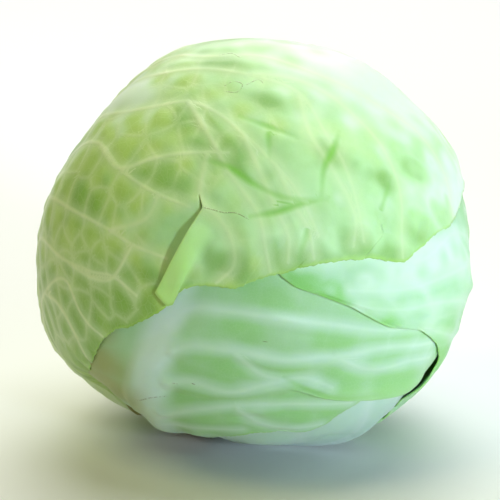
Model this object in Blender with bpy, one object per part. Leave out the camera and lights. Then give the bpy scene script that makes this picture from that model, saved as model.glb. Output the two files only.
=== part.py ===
"""A head of white cabbage, resting on its side as a trimmed head does.

The head is drawn in its own frame: the stem points down -Z, the crown is at +Z, and -Y is the side that is
seen first. A place on it is (azimuth, polar angle): the azimuth goes round from the front towards the right,
and the polar angle goes up from the stem. Each leaf is an outline round its own middle, laid on the head over
the leaves beneath it: its inner face follows what it lies on, and its outer face stands off by its thickness
and by its ribs. At the end the whole head is leaned over onto the flat spot that it rests on.
"""

import math

import bmesh
import bpy
import numpy as np
from mathutils import Matrix

# The finished head, in metres and degrees
FREE_RADIUS = 0.1068
LEAN_SIDE = 22.0
LEAN_BACK = 15.0
HEAD_HEIGHT = 0.0896

# Where the head is pressed flat: azimuth, polar angle, distance from the middle of the head
FLATS = (
    (-90, 106, 0.0940),
    (-90, 134, 0.1012),
    (-90, 164, 0.0976),
    (90, 157, 0.1034),
    (90, 120, 0.1085),
    (90, 82, 0.1045),
    (-90, 69, 0.1038),
    (90, 22, 0.0975),
    (-90, 5, 0.0940),
    (126, 26, 0.1030),
    (145, 46, 0.0946),
    (175, 95, 0.1000),
)
FLAT_HARDNESS = 15

# The head's own weight presses it flat where it rests. The press starts softly over a short height, and a
# line from the middle that falls less steeply than this never reaches the surface below.
REST_BLEND = 0.0010
LEAST_FALL = 0.1

# How the leaves lie on each other
STACK_DEPTH = 0.0058
LEAF_THICKNESS = 0.0010
MARGIN_THICKNESS = 0.0007
MARGIN_TAPER = 0.014
LEAF_GAP = 0.0008
PITCH = LEAF_THICKNESS + LEAF_GAP
DRAPE_START = 0.004
DRAPE_REACH = 0.022
SHOW_START = 0.006
SHOW_REACH = 0.012

# A tear opens by a hair, lifts one side clear of the other, and only then lets them overlap
TEAR_OPENING = 0.0009
TEAR_LIFT = PITCH + 0.0002
TEAR_START = 0.007
TEAR_START_SHARE = 0.45
TEAR_SPREAD = 0.040
TEAR_OVERLAP = 0.012
TEAR_RING_SHARE = 0.7

# The waves of a leaf's edge and of its curl: waves in a whole turn, phase, share of the whole
EDGE_WAVES = ((23, 1.0, 0.5), (37, 2.0, 0.3), (61, 0.0, 0.2))
CURL_WAVES = ((7, 2.0, 0.3), (13, 0.0, 0.2))
CURL_MEAN = 0.5
CURL_REACH = 0.0056

# How finely each leaf is divided
RINGS = 14
CROWN_RINGS = 18
WEDGE_ANGLE = 60.0
MARGIN_EVENNESS = 0.6
OUTLINE_STEPS = 24
RIB_STEPS = 40

# The stub of the stem and the packed leaves round it
STEM_RADIUS = 0.0150
STEM_TOP = 0.060
STEM_CUT = 0.0905
STEM_SIDES = 32
STEM_BEVEL = 0.0012
FIT_GAP = 0.0003
HEART_DIVISIONS = 4

HEART_COLOUR = (0.62, 0.70, 0.45)
STEM_COLOUR = (0.46, 0.36, 0.20)
LEAF_ROUGHNESS = 0.42
STEM_ROUGHNESS = 0.75


def direction(azimuth, polar):
    """Unit vectors for azimuths and polar angles in degrees."""
    azimuth, polar = np.radians(azimuth), np.radians(polar)
    flat = np.sin(polar)
    return np.stack([flat * np.sin(azimuth), -flat * np.cos(azimuth), -np.cos(polar)], axis=-1)


def smoothstep(value):
    value = np.clip(value, 0.0, 1.0)
    return value * value * (3.0 - 2.0 * value)


def head_radius(rays):
    """Distance from the middle of the head to its outside: a ball pressed by soft flats."""
    total = np.full(len(rays), FREE_RADIUS ** -FLAT_HARDNESS)
    for azimuth, polar, distance in FLATS:
        facing = np.clip(rays @ direction(azimuth, polar), 0.0, None)
        total += (facing / distance) ** FLAT_HARDNESS
    return total ** (-1.0 / FLAT_HARDNESS)


LEAN = Matrix.Rotation(math.radians(-LEAN_BACK), 3, "X") @ Matrix.Rotation(math.radians(LEAN_SIDE), 3, "Y")
LEAN_ROWS = np.array(LEAN)


def floor_radius(rays):
    """Distance from the middle of the head to the surface that it rests on."""
    return HEAD_HEIGHT / np.maximum(-(rays @ LEAN_ROWS[2]), LEAST_FALL)


def heart_radius(rays, leaves):
    """Distance to the packed leaves, pressed in where the leaves over them would go through the floor."""
    free = head_radius(rays) - STACK_DEPTH
    pressed = floor_radius(rays) - PITCH * sum(leaf.cover(rays) for leaf in leaves)
    soft = np.clip(1.0 - np.abs(free - pressed) / REST_BLEND, 0.0, 1.0)
    return np.minimum(free, pressed) - REST_BLEND / 4 * soft * soft


def waves(turns, kinds):
    return sum(share * np.sin(count * turns + phase) for count, phase, share in kinds)


def smooth_path(points, steps, closed=False):
    """A smooth curve through a few points, with each stretch cut into the same number of steps."""
    points = np.asarray(points, dtype=float)
    count = len(points)
    if closed:
        before, after = np.roll(points, 1, axis=0), np.roll(points, -1, axis=0)
    else:
        before = np.vstack([2 * points[0] - points[1], points[:-1]])
        after = np.vstack([points[1:], 2 * points[-1] - points[-2]])
    back = np.linalg.norm(points - before, axis=1)[:, None]
    ahead = np.linalg.norm(after - points, axis=1)[:, None]
    slope = ((points - before) / back * ahead + (after - points) / ahead * back) / (back + ahead)
    t = (np.arange(steps) / steps)[:, None]
    curve = []
    for i in range(count if closed else count - 1):
        j = (i + 1) % count
        chord = np.linalg.norm(points[j] - points[i])
        curve.append(points[i] * (1 + 2 * t) * (1 - t) ** 2 + points[j] * t * t * (3 - 2 * t)
                     + chord * slope[i] * t * (1 - t) ** 2 - chord * slope[j] * t * t * (1 - t))
    if not closed:
        curve.append(points[-1:])
    return np.vstack(curve)


def nearest(rays, samples):
    """Angle from each ray to the closest of the samples, and which one that is."""
    facing = rays @ samples.T
    closest = facing.argmax(axis=1)
    reach = np.clip(facing[np.arange(len(rays)), closest], -1.0, 1.0)
    return np.arccos(reach), closest


class Rib:
    """A raised ridge along a path, from its thick end to its thin end."""

    def __init__(self, path, width, height, end_width, end_height):
        self.samples = smooth_path(direction(*np.transpose(path)), RIB_STEPS)
        self.samples /= np.linalg.norm(self.samples, axis=1)[:, None]
        along = np.linspace(0.0, 1.0, len(self.samples))
        self.widths = width + (end_width - width) * along
        self.heights = height + (end_height - height) * along

    def relief(self, rays):
        angle, closest = nearest(rays, self.samples)
        across = angle * FREE_RADIUS / self.widths[closest]
        return self.heights[closest] * smoothstep(1.0 - across)


class Tear:
    """A tear in from the margin, ending at its tip. The side named as upper lies on the other."""

    def __init__(self, tip, upper):
        self.tip = tip
        self.upper = upper


class Leaf:
    """A leaf on the head. Its margin is one closed outline, or a stretch of outline from tear to tear."""

    def __init__(self, name, middle, margins, colour, ribs=(), tears=(), wave=0.0008, curl=0.0012):
        self.name = name
        self.colour = colour
        self.ribs = ribs
        self.wave = wave
        self.curl = curl
        azimuth, polar = middle
        self.up = direction(azimuth, polar)
        self.down = direction(azimuth, polar - 90.0)
        self.side = direction(azimuth + 90.0, 90.0)
        self.tears = list(tears)
        self.tips = [self.place(*tear.tip) for tear in self.tears]
        self.lay_out_margins(margins)
        self.lay_out_wedges()

    def place(self, azimuth, polar):
        """Turn and distance round the leaf's middle, both in radians; turn 0 points at the stem."""
        ray = direction(azimuth, polar)
        return math.atan2(ray @ self.side, ray @ self.down), math.acos(float(np.clip(ray @ self.up, -1, 1)))

    def rays(self, turns, reaches):
        turned = np.cos(turns)[:, None] * self.down + np.sin(turns)[:, None] * self.side
        return np.cos(reaches)[:, None] * self.up + np.sin(reaches)[:, None] * turned

    def lay_out_margins(self, margins):
        """Sample each margin, and give every place on it a share of the way along from 0 to 1.

        The share goes partly by turn and partly by length, which keeps the mesh even where the margin runs
        almost straight out from the middle. The root turn is where a line to that place starts its way out:
        at a tear the two sides start together at the tip and end apart.
        """
        self.margins = []
        for i, margin in enumerate(margins):
            turns, reaches = np.transpose([self.place(*point) for point in margin])
            flat = np.stack([reaches * np.cos(turns), reaches * np.sin(turns)], axis=-1)
            curve = smooth_path(flat, OUTLINE_STEPS, closed=not self.tears)
            if not self.tears:
                curve = np.vstack([curve, curve[:1]])
            turns = np.maximum.accumulate(np.unwrap(np.arctan2(curve[:, 1], curve[:, 0])))
            reaches = np.hypot(curve[:, 0], curve[:, 1])
            begin, finish = turns[0], turns[-1]
            if self.tears:
                begin = self.close_to(self.tips[i][0], turns[0])
                finish = self.close_to(self.tips[(i + 1) % len(self.tips)][0], turns[-1])
            by_turn = (turns - turns[0]) / (turns[-1] - turns[0])
            strides = np.hypot(np.diff(reaches), np.sin(reaches[1:]) * np.diff(turns))
            by_length = np.append(0.0, np.cumsum(strides)) / strides.sum()
            shares = MARGIN_EVENNESS * by_length + (1.0 - MARGIN_EVENNESS) * by_turn
            self.margins.append((shares, turns, reaches, begin + (finish - begin) * by_turn))

    @staticmethod
    def close_to(turn, other):
        """The same turn, a whole number of rounds on, that lies closest to the other."""
        return turn + 2 * math.pi * round((other - turn) / (2 * math.pi))

    def lay_out_wedges(self):
        """Wedges run round the middle; a tear always falls between two of them."""
        self.wedges = []
        for i, (_, _, _, roots) in enumerate(self.margins):
            count = max(1, round(math.degrees(roots[-1] - roots[0]) / WEDGE_ANGLE))
            self.wedges += [(i, step / count, (step + 1) / count) for step in range(count)]

    def on_margin(self, which, shares):
        """Turn, reach and root turn at each share of the way along a margin, with the waves of its edge."""
        known, turns, reaches, roots = self.margins[which]
        turn = np.interp(shares, known, turns)
        reach = np.interp(shares, known, reaches) + self.wave / FREE_RADIUS * waves(turn, EDGE_WAVES)
        return turn, reach, np.interp(shares, known, roots)

    def tear_ring(self, rings):
        return max(1, round(rings * TEAR_RING_SHARE)) if self.tears else rings

    def inner_reach(self, roots, rings):
        """Reach of the ring that runs through every tip of a tear, for each root turn."""
        known = [(turn % (2 * math.pi), reach) for turn, reach in self.tips]
        for which, start, _ in self.wedges:
            if start > 0.0:
                _, reach, root = self.on_margin(which, start)
                known.append((root % (2 * math.pi), self.tear_ring(rings) / rings * reach))
        at, reach = np.transpose(sorted(known))
        at = np.concatenate([at - 2 * math.pi, at, at + 2 * math.pi])
        return np.interp(np.mod(roots, 2 * math.pi), at, np.tile(reach, 3))

    def points(self, rings):
        """Every point of the flat leaf, ring by ring, and the triangles between them."""
        tip_ring = self.tear_ring(rings)
        count = len(self.wedges)
        rows = [(0.0, 0, self.wedges[0][0])]
        lines = {(wedge, 0): [0] for wedge in range(count)}
        for wedge, (which, start, end) in enumerate(self.wedges):
            ends_at_tear = bool(self.tears) and end == 1.0
            for ring in range(1, rings + 1):
                own = ring + 1 if ends_at_tear and ring > tip_ring else ring
                lines[wedge, ring] = list(range(len(rows), len(rows) + own))
                rows += [(start + (end - start) * step / ring, ring, which) for step in range(own)]
        for wedge in range(count):
            for ring in range(1, rings + 1):
                if len(lines[wedge, ring]) == ring:
                    lines[wedge, ring].append(lines[(wedge + 1) % count, ring][0])
        triangles = []
        for wedge in range(count):
            for ring in range(1, rings + 1):
                near, far = lines[wedge, ring - 1], lines[wedge, ring]
                triangles += [(near[i], far[i], far[i + 1]) for i in range(ring)]
                triangles += [(near[i], far[i + 1], near[i + 1]) for i in range(ring - 1)]
        shares, ring_numbers, which = np.transpose(rows)
        return shares, ring_numbers, which.astype(int), np.array(triangles)

    def spread_out(self, rings):
        """Where the points of the flat leaf lie, how far in from the margin, and how they lie at a tear."""
        shares, ring_numbers, which, triangles = self.points(rings)
        turns, reaches, margins = np.zeros(len(shares)), np.zeros(len(shares)), np.zeros(len(shares))
        lifts, hidden = np.zeros(len(shares)), np.zeros(len(shares))
        tip_ring = self.tear_ring(rings)
        for i in range(len(self.margins)):
            own = which == i
            share, ring = shares[own], ring_numbers[own]
            turn, outer, root = self.on_margin(i, share)
            margins[own] = outer
            if not self.tears:
                turns[own], reaches[own] = turn, outer * ring / rings
                continue
            inner = self.inner_reach(root, rings)
            beyond = np.clip((ring - tip_ring) / (rings - tip_ring), 0.0, 1.0)
            reach = np.where(ring <= tip_ring, inner * ring / tip_ring, inner + (outer - inner) * beyond)
            length = (outer - inner) * FREE_RADIUS
            lifting = np.minimum(TEAR_START, TEAR_START_SHARE * length)
            slide = np.clip((beyond * length - lifting) / (length - lifting), 0.0, 1.0)
            opened = np.clip(beyond * length / lifting, 0.0, 1.0)
            roots = self.margins[i][3]
            width = np.sin(reach) * FREE_RADIUS
            from_start, from_end = (root - roots[0]) * width, (roots[-1] - root) * width
            hair = smoothstep(1.0 - from_start / TEAR_SPREAD) - smoothstep(1.0 - from_end / TEAR_SPREAD)
            turns[own] = root + slide * (turn - root) + opened * hair * 0.5 * TEAR_OPENING / np.maximum(width, 0.01)
            reaches[own] = reach
            for tear, name, away in ((self.tears[i], "after", from_start),
                                     (self.tears[(i + 1) % len(self.tears)], "before", from_end)):
                if tear.upper == name:
                    lift = TEAR_LIFT * smoothstep(opened) * smoothstep(1.0 - away / TEAR_SPREAD)
                    lifts[own] = np.maximum(lifts[own], lift)
                else:
                    under = smoothstep(1.0 - (away - TEAR_OVERLAP) / SHOW_REACH)
                    hidden[own] = np.maximum(hidden[own], under)
        inward = (margins - reaches) * FREE_RADIUS
        return self.rays(turns, reaches), inward, lifts, hidden, triangles

    def inward(self, rays):
        """Distance in from the leaf's margin, less than zero outside it."""
        reach = np.arccos(np.clip(rays @ self.up, -1.0, 1.0))
        turn = np.arctan2(rays @ self.side, rays @ self.down)
        limit = np.zeros(len(rays))
        samples = []
        for _, turns, reaches, _ in self.margins:
            around = turns[0] + np.mod(turn - turns[0], 2 * math.pi)
            held = around <= turns[-1]
            limit = np.where(held, np.maximum(limit, np.interp(around, turns, reaches)), limit)
            samples.append(self.rays(turns, reaches))
        angle, _ = nearest(rays, np.vstack(samples))
        return np.where(reach < limit, angle, -angle) * FREE_RADIUS

    def cover(self, rays):
        """How far the leaf lifts what lies over it: 1 above the leaf, falling to 0 outside it."""
        return smoothstep(1.0 - (-self.inward(rays) - DRAPE_START) / DRAPE_REACH)

    def lift_over(self, rays):
        """Extra lift of what lies over the upper side of a tear."""
        turn = np.arctan2(rays @ self.side, rays @ self.down)
        reach = np.arccos(np.clip(rays @ self.up, -1.0, 1.0))
        lift = np.zeros(len(rays))
        for tip_turn, tip_reach in self.tips:
            away = np.abs((turn - tip_turn + math.pi) % (2 * math.pi) - math.pi) * np.sin(reach) * FREE_RADIUS
            opened = smoothstep((reach - tip_reach) * FREE_RADIUS / TEAR_START)
            lift = np.maximum(lift, TEAR_LIFT * opened * smoothstep(1.0 - away / TEAR_SPREAD))
        return lift

    def faces(self, rings, under, over):
        """Inner and outer points of the leaf between the leaves under it and those over it."""
        rays, inward, lifts, hidden, triangles = self.spread_out(rings)
        inner = heart_radius(rays, [*under, self, *over]) + LEAF_GAP + lifts
        for leaf in under:
            inner += PITCH * leaf.cover(rays) + leaf.lift_over(rays)
        show = 1.0 - hidden
        for leaf in over:
            show *= smoothstep((-leaf.inward(rays) - SHOW_START) / SHOW_REACH)
        turn = np.arctan2(rays @ self.side, rays @ self.down)
        curl = self.curl * (CURL_MEAN + waves(turn, CURL_WAVES))
        inner += curl * show * np.exp(-inward / CURL_REACH)
        outer = inner + MARGIN_THICKNESS + (LEAF_THICKNESS - MARGIN_THICKNESS) * smoothstep(inward / MARGIN_TAPER)
        for rib in self.ribs:
            outer += rib.relief(rays) * show
        outer = np.minimum(outer, floor_radius(rays))
        inner = np.minimum(inner, outer - MARGIN_THICKNESS)
        return rays * inner[:, None], rays * outer[:, None], triangles


def crown_leaf():
    """The outermost leaf, from behind on the left over the crown, torn into three broad flaps in front."""
    left_and_back = [
        (23.5, 95.8), (28, 96.6), (31.9, 97.1), (36.2, 98.5), (40, 102.7), (44.5, 107), (50.4, 111), (57.3, 115.5),
        (65, 123), (82, 128), (108, 126), (135, 118), (160, 108), (-176, 96), (-157, 78), (-144, 58), (-133, 36),
        (-128, 18), (-120, 11.5), (-98, 11), (-83, 15.5), (-76, 20.5), (-68, 26), (-59, 31), (-50, 35.5),
        (-42.5, 42), (-36, 47.5), (-31.9, 52.9), (-27.8, 56.9), (-22, 60), (-17.5, 63.8), (-14.5, 68),
        (-12.5, 72.5), (-10, 76.5),
    ]
    front_flap = [
        (-17.8, 70.6), (-13.3, 69), (-11.3, 73.4), (-6.9, 76.4), (-1, 78.2), (4.6, 82.3),
        (8.7, 86), (14.8, 90.2), (20, 93.2), (25.3, 96),
    ]
    ribs = (
        Rib([(-95, 12), (-98, 55), (-90, 95), (-62, 135)], 0.013, 0.0034, 0.007, 0.0006),
        Rib([(-15.6, 92), (-12.8, 83), (-11.3, 75)], 0.008, 0.0012, 0.008, 0.0016),
    )
    tears = (Tear((27.3, 104.7), "before"), Tear((-16, 95.8), "after"))
    return Leaf("leaf_over_crown", (-68, 138), [left_and_back, front_flap], (0.36, 0.50, 0.16), ribs, tears)


def right_leaf():
    """The leaf that wraps the right side, over the end of the front leaf."""
    margin = [
        (135, 11), (168, 11.5), (172, 24), (172, 45), (175, 70), (172, 95), (155, 118), (125, 132), (90, 140),
        (55, 135), (28, 122), (10, 106), (6, 92), (8.5, 85.5), (12.5, 84), (18.6, 84.2), (27, 84.4), (40.6, 83.7),
        (49.8, 85.5), (57, 84.8), (65.7, 82), (72, 79), (75.6, 75.4), (77, 72), (81, 69), (91, 66), (98, 56),
        (101, 42), (104, 28), (108, 12),
    ]
    ribs = (
        Rib([(135, 12), (132, 50), (118, 90), (95, 120)], 0.013, 0.0034, 0.007, 0.0008),
        Rib([(122, 72), (100, 84), (75, 89), (45, 87.5)], 0.005, 0.0010, 0.004, 0.0005),
        Rib([(118, 86), (98, 98), (79, 101), (57, 95)], 0.005, 0.0010, 0.004, 0.0005),
    )
    return Leaf("leaf_right_side", (108, 100), [margin], (0.62, 0.80, 0.50), ribs)


def front_leaf():
    """The pale leaf in front, with its broad midrib on the left and a lobe torn loose below."""
    body = [
        (65, 74), (68, 78), (71, 83), (74, 89), (70, 97), (50, 106),
        (25, 112), (0, 112), (-25, 106), (-48, 92), (-64, 72), (-70, 50), (-68, 30), (-66, 16), (-54, 11.5),
        (-17, 11), (22, 11.5), (22, 20), (20, 31), (25, 40), (34, 46.5), (41.5, 49), (44.5, 53.5), (46.5, 59),
        (48, 63.5), (50.5, 68),
    ]
    ribs = (
        Rib([(-17, 12), (-15, 35), (-14.5, 58), (-12, 82)], 0.017, 0.0042, 0.009, 0.0008),
        Rib([(-9.1, 68.8), (1.8, 73.2), (14.2, 75.5), (26.8, 78.4), (42, 82.6)], 0.006, 0.0012, 0.005, 0.0006),
        Rib([(-9, 58), (6.3, 62.9), (20.2, 66.4), (31.3, 71.4), (48, 75), (66.9, 78)], 0.006, 0.0016, 0.005, 0.0007),
        Rib([(-8, 48), (11, 53.4), (20.5, 59.1), (29, 63.5)], 0.006, 0.0018, 0.005, 0.0012),
        Rib([(-8, 36), (0, 39.6), (15, 48.6), (32.5, 54.5), (44, 59)], 0.006, 0.0014, 0.005, 0.0006),
        Rib([(-50, 12), (-52, 24), (-46, 38)], 0.018, 0.0020, 0.014, 0.0010),
    )
    return Leaf("leaf_front", (-4, 62), [body], (0.60, 0.72, 0.42), ribs, (Tear((23.5, 60.3), "after"),))


def lower_right_leaf():
    """The thick pale leaf that comes out below the front leaf on the right."""
    margin = [
        (95, 11), (132, 11.5), (146, 20), (148, 38), (146, 60), (130, 82), (100, 95), (72, 96), (50, 88),
        (32, 74), (18, 56), (8, 40), (6, 27), (10, 17), (40, 11.5), (70, 11),
    ]
    ribs = (Rib([(98, 12), (91, 30), (82, 48), (79, 64), (84, 84)], 0.014, 0.0036, 0.012, 0.0020),)
    return Leaf("leaf_lower_right", (76, 52), [margin], (0.55, 0.70, 0.55), ribs)


def back_leaf():
    """The leaf behind, which shows between the crown leaf and the right leaf."""
    margin = [
        (-165, 11), (-128, 11.5), (-116, 17), (-106, 34), (-102, 58), (-106, 84), (-122, 106), (-150, 122),
        (178, 124), (152, 112), (138, 90), (134, 64), (140, 38), (148, 20), (160, 11.5),
    ]
    ribs = (
        Rib([(-165, 12), (-167, 50), (-168, 90), (-170, 112)], 0.014, 0.0038, 0.007, 0.0008),
        Rib([(-166, 40), (-152, 62), (-140, 78)], 0.005, 0.0010, 0.004, 0.0005),
        Rib([(-167, 48), (179, 68), (168, 84)], 0.005, 0.0010, 0.004, 0.0005),
    )
    return Leaf("leaf_back", (-165, 66), [margin], (0.50, 0.64, 0.30), ribs)


def finish(colour, roughness, name):
    material = bpy.data.materials.new(name)
    material.use_nodes = True
    shader = material.node_tree.nodes["Principled BSDF"]
    shader.inputs["Base Color"].default_value = (*colour, 1.0)
    shader.inputs["Roughness"].default_value = roughness
    shader.inputs["Metallic"].default_value = 0.0
    return material


def add_object(name, mesh, material, head):
    mesh.materials.append(material)
    mesh.shade_smooth()
    obj = bpy.data.objects.new(name, mesh)
    bpy.context.scene.collection.objects.link(obj)
    obj.parent = head
    return obj


def closed_sheet(name, inner, outer, triangles):
    """One closed mesh from an inner and an outer face, walled in round every open edge."""
    count = len(inner)
    edges = {(int(a), int(b)) for tri in triangles for a, b in (tri[[0, 1]], tri[[1, 2]], tri[[2, 0]])}
    faces = [tuple(tri) for tri in triangles.tolist()]
    faces += [(a + count, c + count, b + count) for a, b, c in triangles.tolist()]
    for a, b in sorted(edges):
        if (b, a) not in edges:
            faces += [(b, a, a + count), (b, a + count, b + count)]
    mesh = bpy.data.meshes.new(name)
    mesh.from_pydata(np.vstack([outer, inner]).tolist(), [], faces)
    return mesh


def add_leaf(leaf, under, over, head):
    inner, outer, triangles = leaf.faces(RINGS if over else CROWN_RINGS, under, over)
    a, b, c = (outer[triangles[:, i]] for i in range(3))
    if np.sum(np.cross(b - a, c - a) * a) < 0.0:
        triangles = triangles[:, ::-1]
    mesh = closed_sheet(leaf.name, inner, outer, triangles)
    return add_object(leaf.name, mesh, finish(leaf.colour, LEAF_ROUGHNESS, leaf.name), head)


def add_stem(head):
    """The trimmed end of the stem, standing in the packed leaves."""
    shape = bmesh.new()
    bmesh.ops.create_cone(shape, cap_ends=True, segments=STEM_SIDES, radius1=STEM_RADIUS, radius2=STEM_RADIUS,
                          depth=STEM_CUT - STEM_TOP)
    bmesh.ops.translate(shape, verts=shape.verts, vec=(0.0, 0.0, -(STEM_CUT + STEM_TOP) / 2))
    cut_rim = [edge for edge in shape.edges if all(vert.co.z < -STEM_CUT + STEM_BEVEL for vert in edge.verts)]
    bmesh.ops.bevel(shape, geom=cut_rim, offset=STEM_BEVEL, segments=2, profile=0.5, affect="EDGES")
    mesh = bpy.data.meshes.new("stem")
    shape.to_mesh(mesh)
    shape.free()
    return add_object("stem", mesh, finish(STEM_COLOUR, STEM_ROUGHNESS, "stem"), head)


def add_heart(leaves, head):
    """The packed inner leaves as one closed body, with a socket that the stem stands in."""
    shape = bmesh.new()
    bmesh.ops.create_icosphere(shape, subdivisions=HEART_DIVISIONS, radius=1.0)
    rays = np.array([vert.co[:] for vert in shape.verts])
    for vert, reach in zip(shape.verts, heart_radius(rays, leaves)):
        vert.co *= reach
    mesh = bpy.data.meshes.new("packed_heart")
    shape.to_mesh(mesh)
    shape.free()
    heart = add_object("packed_heart", mesh, finish(HEART_COLOUR, LEAF_ROUGHNESS, "packed_heart"), head)

    socket = bmesh.new()
    bmesh.ops.create_cone(socket, cap_ends=True, segments=STEM_SIDES, radius1=STEM_RADIUS + FIT_GAP,
                          radius2=STEM_RADIUS + FIT_GAP, depth=FREE_RADIUS)
    bmesh.ops.translate(socket, verts=socket.verts, vec=(0.0, 0.0, FIT_GAP - STEM_TOP - FREE_RADIUS / 2))
    cutter_mesh = bpy.data.meshes.new("stem_socket_cutter")
    socket.to_mesh(cutter_mesh)
    socket.free()
    cutter = bpy.data.objects.new("stem_socket_cutter", cutter_mesh)
    bpy.context.scene.collection.objects.link(cutter)
    cutter.parent = head
    cutter.hide_render = True
    cutter.display_type = "WIRE"
    cut = heart.modifiers.new("stem_socket", "BOOLEAN")
    cut.object = cutter
    cut.operation = "DIFFERENCE"
    return heart


def main():
    for obj in list(bpy.data.objects):
        bpy.data.objects.remove(obj)
    head = bpy.data.objects.new("leaning_head", None)
    bpy.context.scene.collection.objects.link(head)
    head.matrix_world = Matrix.Translation((0.0, 0.0, HEAD_HEIGHT)) @ LEAN.to_4x4()
    leaves = [back_leaf(), lower_right_leaf(), front_leaf(), right_leaf(), crown_leaf()]
    add_heart(leaves, head)
    add_stem(head)
    for i, leaf in enumerate(leaves):
        add_leaf(leaf, leaves[:i], leaves[i + 1:], head)


if __name__ == "__main__":
    main()
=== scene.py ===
# %% [markdown]
# # A head of white cabbage, leaf by leaf
#
# This lesson dresses a plain model of a cabbage head. The plain model already has the right size and the right
# leaves, but its leaves are coarse and bare. Here every leaf is laid again with the same outline and the same
# stacking, much finer, and then gets its veins, its blistered surface, its creases and its waxy skin.
#
# The script first loads the plain model, and notes how large it is.

# %% Load the plain model
import math

import bmesh
import bpy
import numpy as np
from mathutils import Matrix, Vector
from mathutils.geometry import delaunay_2d_cdt
from mathutils.kdtree import KDTree


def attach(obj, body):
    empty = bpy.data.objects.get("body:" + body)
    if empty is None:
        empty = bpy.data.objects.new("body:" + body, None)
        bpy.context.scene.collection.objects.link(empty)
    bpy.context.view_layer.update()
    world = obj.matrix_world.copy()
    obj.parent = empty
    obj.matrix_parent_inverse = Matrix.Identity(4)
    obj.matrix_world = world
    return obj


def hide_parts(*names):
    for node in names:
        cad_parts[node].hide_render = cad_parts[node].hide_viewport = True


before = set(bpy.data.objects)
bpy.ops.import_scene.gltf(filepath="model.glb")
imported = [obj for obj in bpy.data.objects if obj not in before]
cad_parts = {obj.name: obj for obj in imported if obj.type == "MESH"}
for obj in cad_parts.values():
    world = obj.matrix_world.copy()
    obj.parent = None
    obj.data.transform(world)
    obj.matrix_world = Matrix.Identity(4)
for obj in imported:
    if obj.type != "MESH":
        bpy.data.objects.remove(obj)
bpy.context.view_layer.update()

# %% [markdown]
# ## The shape of the whole head
#
# A cabbage head is a ball of leaves that pressed on each other while they grew, so it is nowhere quite round.
# The ball is drawn in its own frame, with the stem pointing down -Z and the crown at +Z. A place on it is an
# azimuth, from the front towards the right, and a polar angle, up from the stem. Flat spots are soft: the
# distance to the outside is a power mean of the ball and of one plane for each flat spot.

# %% Directions and the pressed ball
FREE_RADIUS = 0.1068
LEAN_SIDE = 22.0
LEAN_BACK = 15.0
HEAD_HEIGHT = 0.0896
FLATS = (
    (-90, 106, 0.0940), (-90, 134, 0.1012), (-90, 164, 0.0976), (90, 157, 0.1034), (90, 120, 0.1085),
    (90, 82, 0.1045), (-90, 69, 0.1038), (90, 22, 0.0975), (-90, 5, 0.0940), (126, 26, 0.1030),
    (145, 46, 0.0946), (175, 95, 0.1000),
)
FLAT_HARDNESS = 15


def direction(azimuth, polar):
    azimuth, polar = np.radians(azimuth), np.radians(polar)
    flat = np.sin(polar)
    return np.stack([flat * np.sin(azimuth), -flat * np.cos(azimuth), -np.cos(polar)], axis=-1)


def smoothstep(value):
    value = np.clip(value, 0.0, 1.0)
    return value * value * (3.0 - 2.0 * value)


def head_radius(rays):
    total = np.full(len(rays), FREE_RADIUS ** -FLAT_HARDNESS)
    for azimuth, polar, distance in FLATS:
        facing = np.clip(rays @ direction(azimuth, polar), 0.0, None)
        total += (facing / distance) ** FLAT_HARDNESS
    return total ** (-1.0 / FLAT_HARDNESS)


print("radius at the crown:", round(float(head_radius(direction([0.0], [180.0]))[0]) * 1000, 1), "mm")

# %% [markdown]
# ## How the head rests
#
# A trimmed head doesn't stand on its stem. It rolls until it lies on a flat spot beside it. So the head leans to
# one side and a little back, and its own weight presses the leaves flat where they meet the table.

# %% The lean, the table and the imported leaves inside
STACK_DEPTH = 0.0058
LEAF_THICKNESS = 0.0010
LEAF_GAP = 0.0008
PITCH = LEAF_THICKNESS + LEAF_GAP
REST_BLEND = 0.0010
LEAST_FALL = 0.1
LEAN = Matrix.Rotation(math.radians(-LEAN_BACK), 3, "X") @ Matrix.Rotation(math.radians(LEAN_SIDE), 3, "Y")
LEAN_ROWS = np.array(LEAN)


def floor_radius(rays):
    return HEAD_HEIGHT / np.maximum(-(rays @ LEAN_ROWS[2]), LEAST_FALL)


def heart_radius(rays, leaves):
    free = head_radius(rays) - STACK_DEPTH
    pressed = floor_radius(rays) - PITCH * sum(leaf.cover(rays) for leaf in leaves)
    soft = np.clip(1.0 - np.abs(free - pressed) / REST_BLEND, 0.0, 1.0)
    return np.minimum(free, pressed) - REST_BLEND / 4 * soft * soft


def to_table(points):
    """From the head's own frame to the frame of the table that it rests on."""
    return points @ LEAN_ROWS.T + np.array([0.0, 0.0, HEAD_HEIGHT])


# %% [markdown]
# ## Curves through a few points
#
# Leaf margins and veins are both given by a few points each, the way one would sketch them. A smooth curve runs
# through the points, with more care where they are unevenly spaced.

# %% A smooth curve, and the closest place on one
def smooth_path(points, steps, closed=False):
    points = np.asarray(points, dtype=float)
    count = len(points)
    if closed:
        before, after = np.roll(points, 1, axis=0), np.roll(points, -1, axis=0)
    else:
        before = np.vstack([2 * points[0] - points[1], points[:-1]])
        after = np.vstack([points[1:], 2 * points[-1] - points[-2]])
    back = np.linalg.norm(points - before, axis=1)[:, None]
    ahead = np.linalg.norm(after - points, axis=1)[:, None]
    slope = ((points - before) / back * ahead + (after - points) / ahead * back) / (back + ahead)
    t = (np.arange(steps) / steps)[:, None]
    curve = []
    for i in range(count if closed else count - 1):
        j = (i + 1) % count
        chord = np.linalg.norm(points[j] - points[i])
        curve.append(points[i] * (1 + 2 * t) * (1 - t) ** 2 + points[j] * t * t * (3 - 2 * t)
                     + chord * slope[i] * t * (1 - t) ** 2 - chord * slope[j] * t * t * (1 - t))
    if not closed:
        curve.append(points[-1:])
    return np.vstack(curve)


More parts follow.
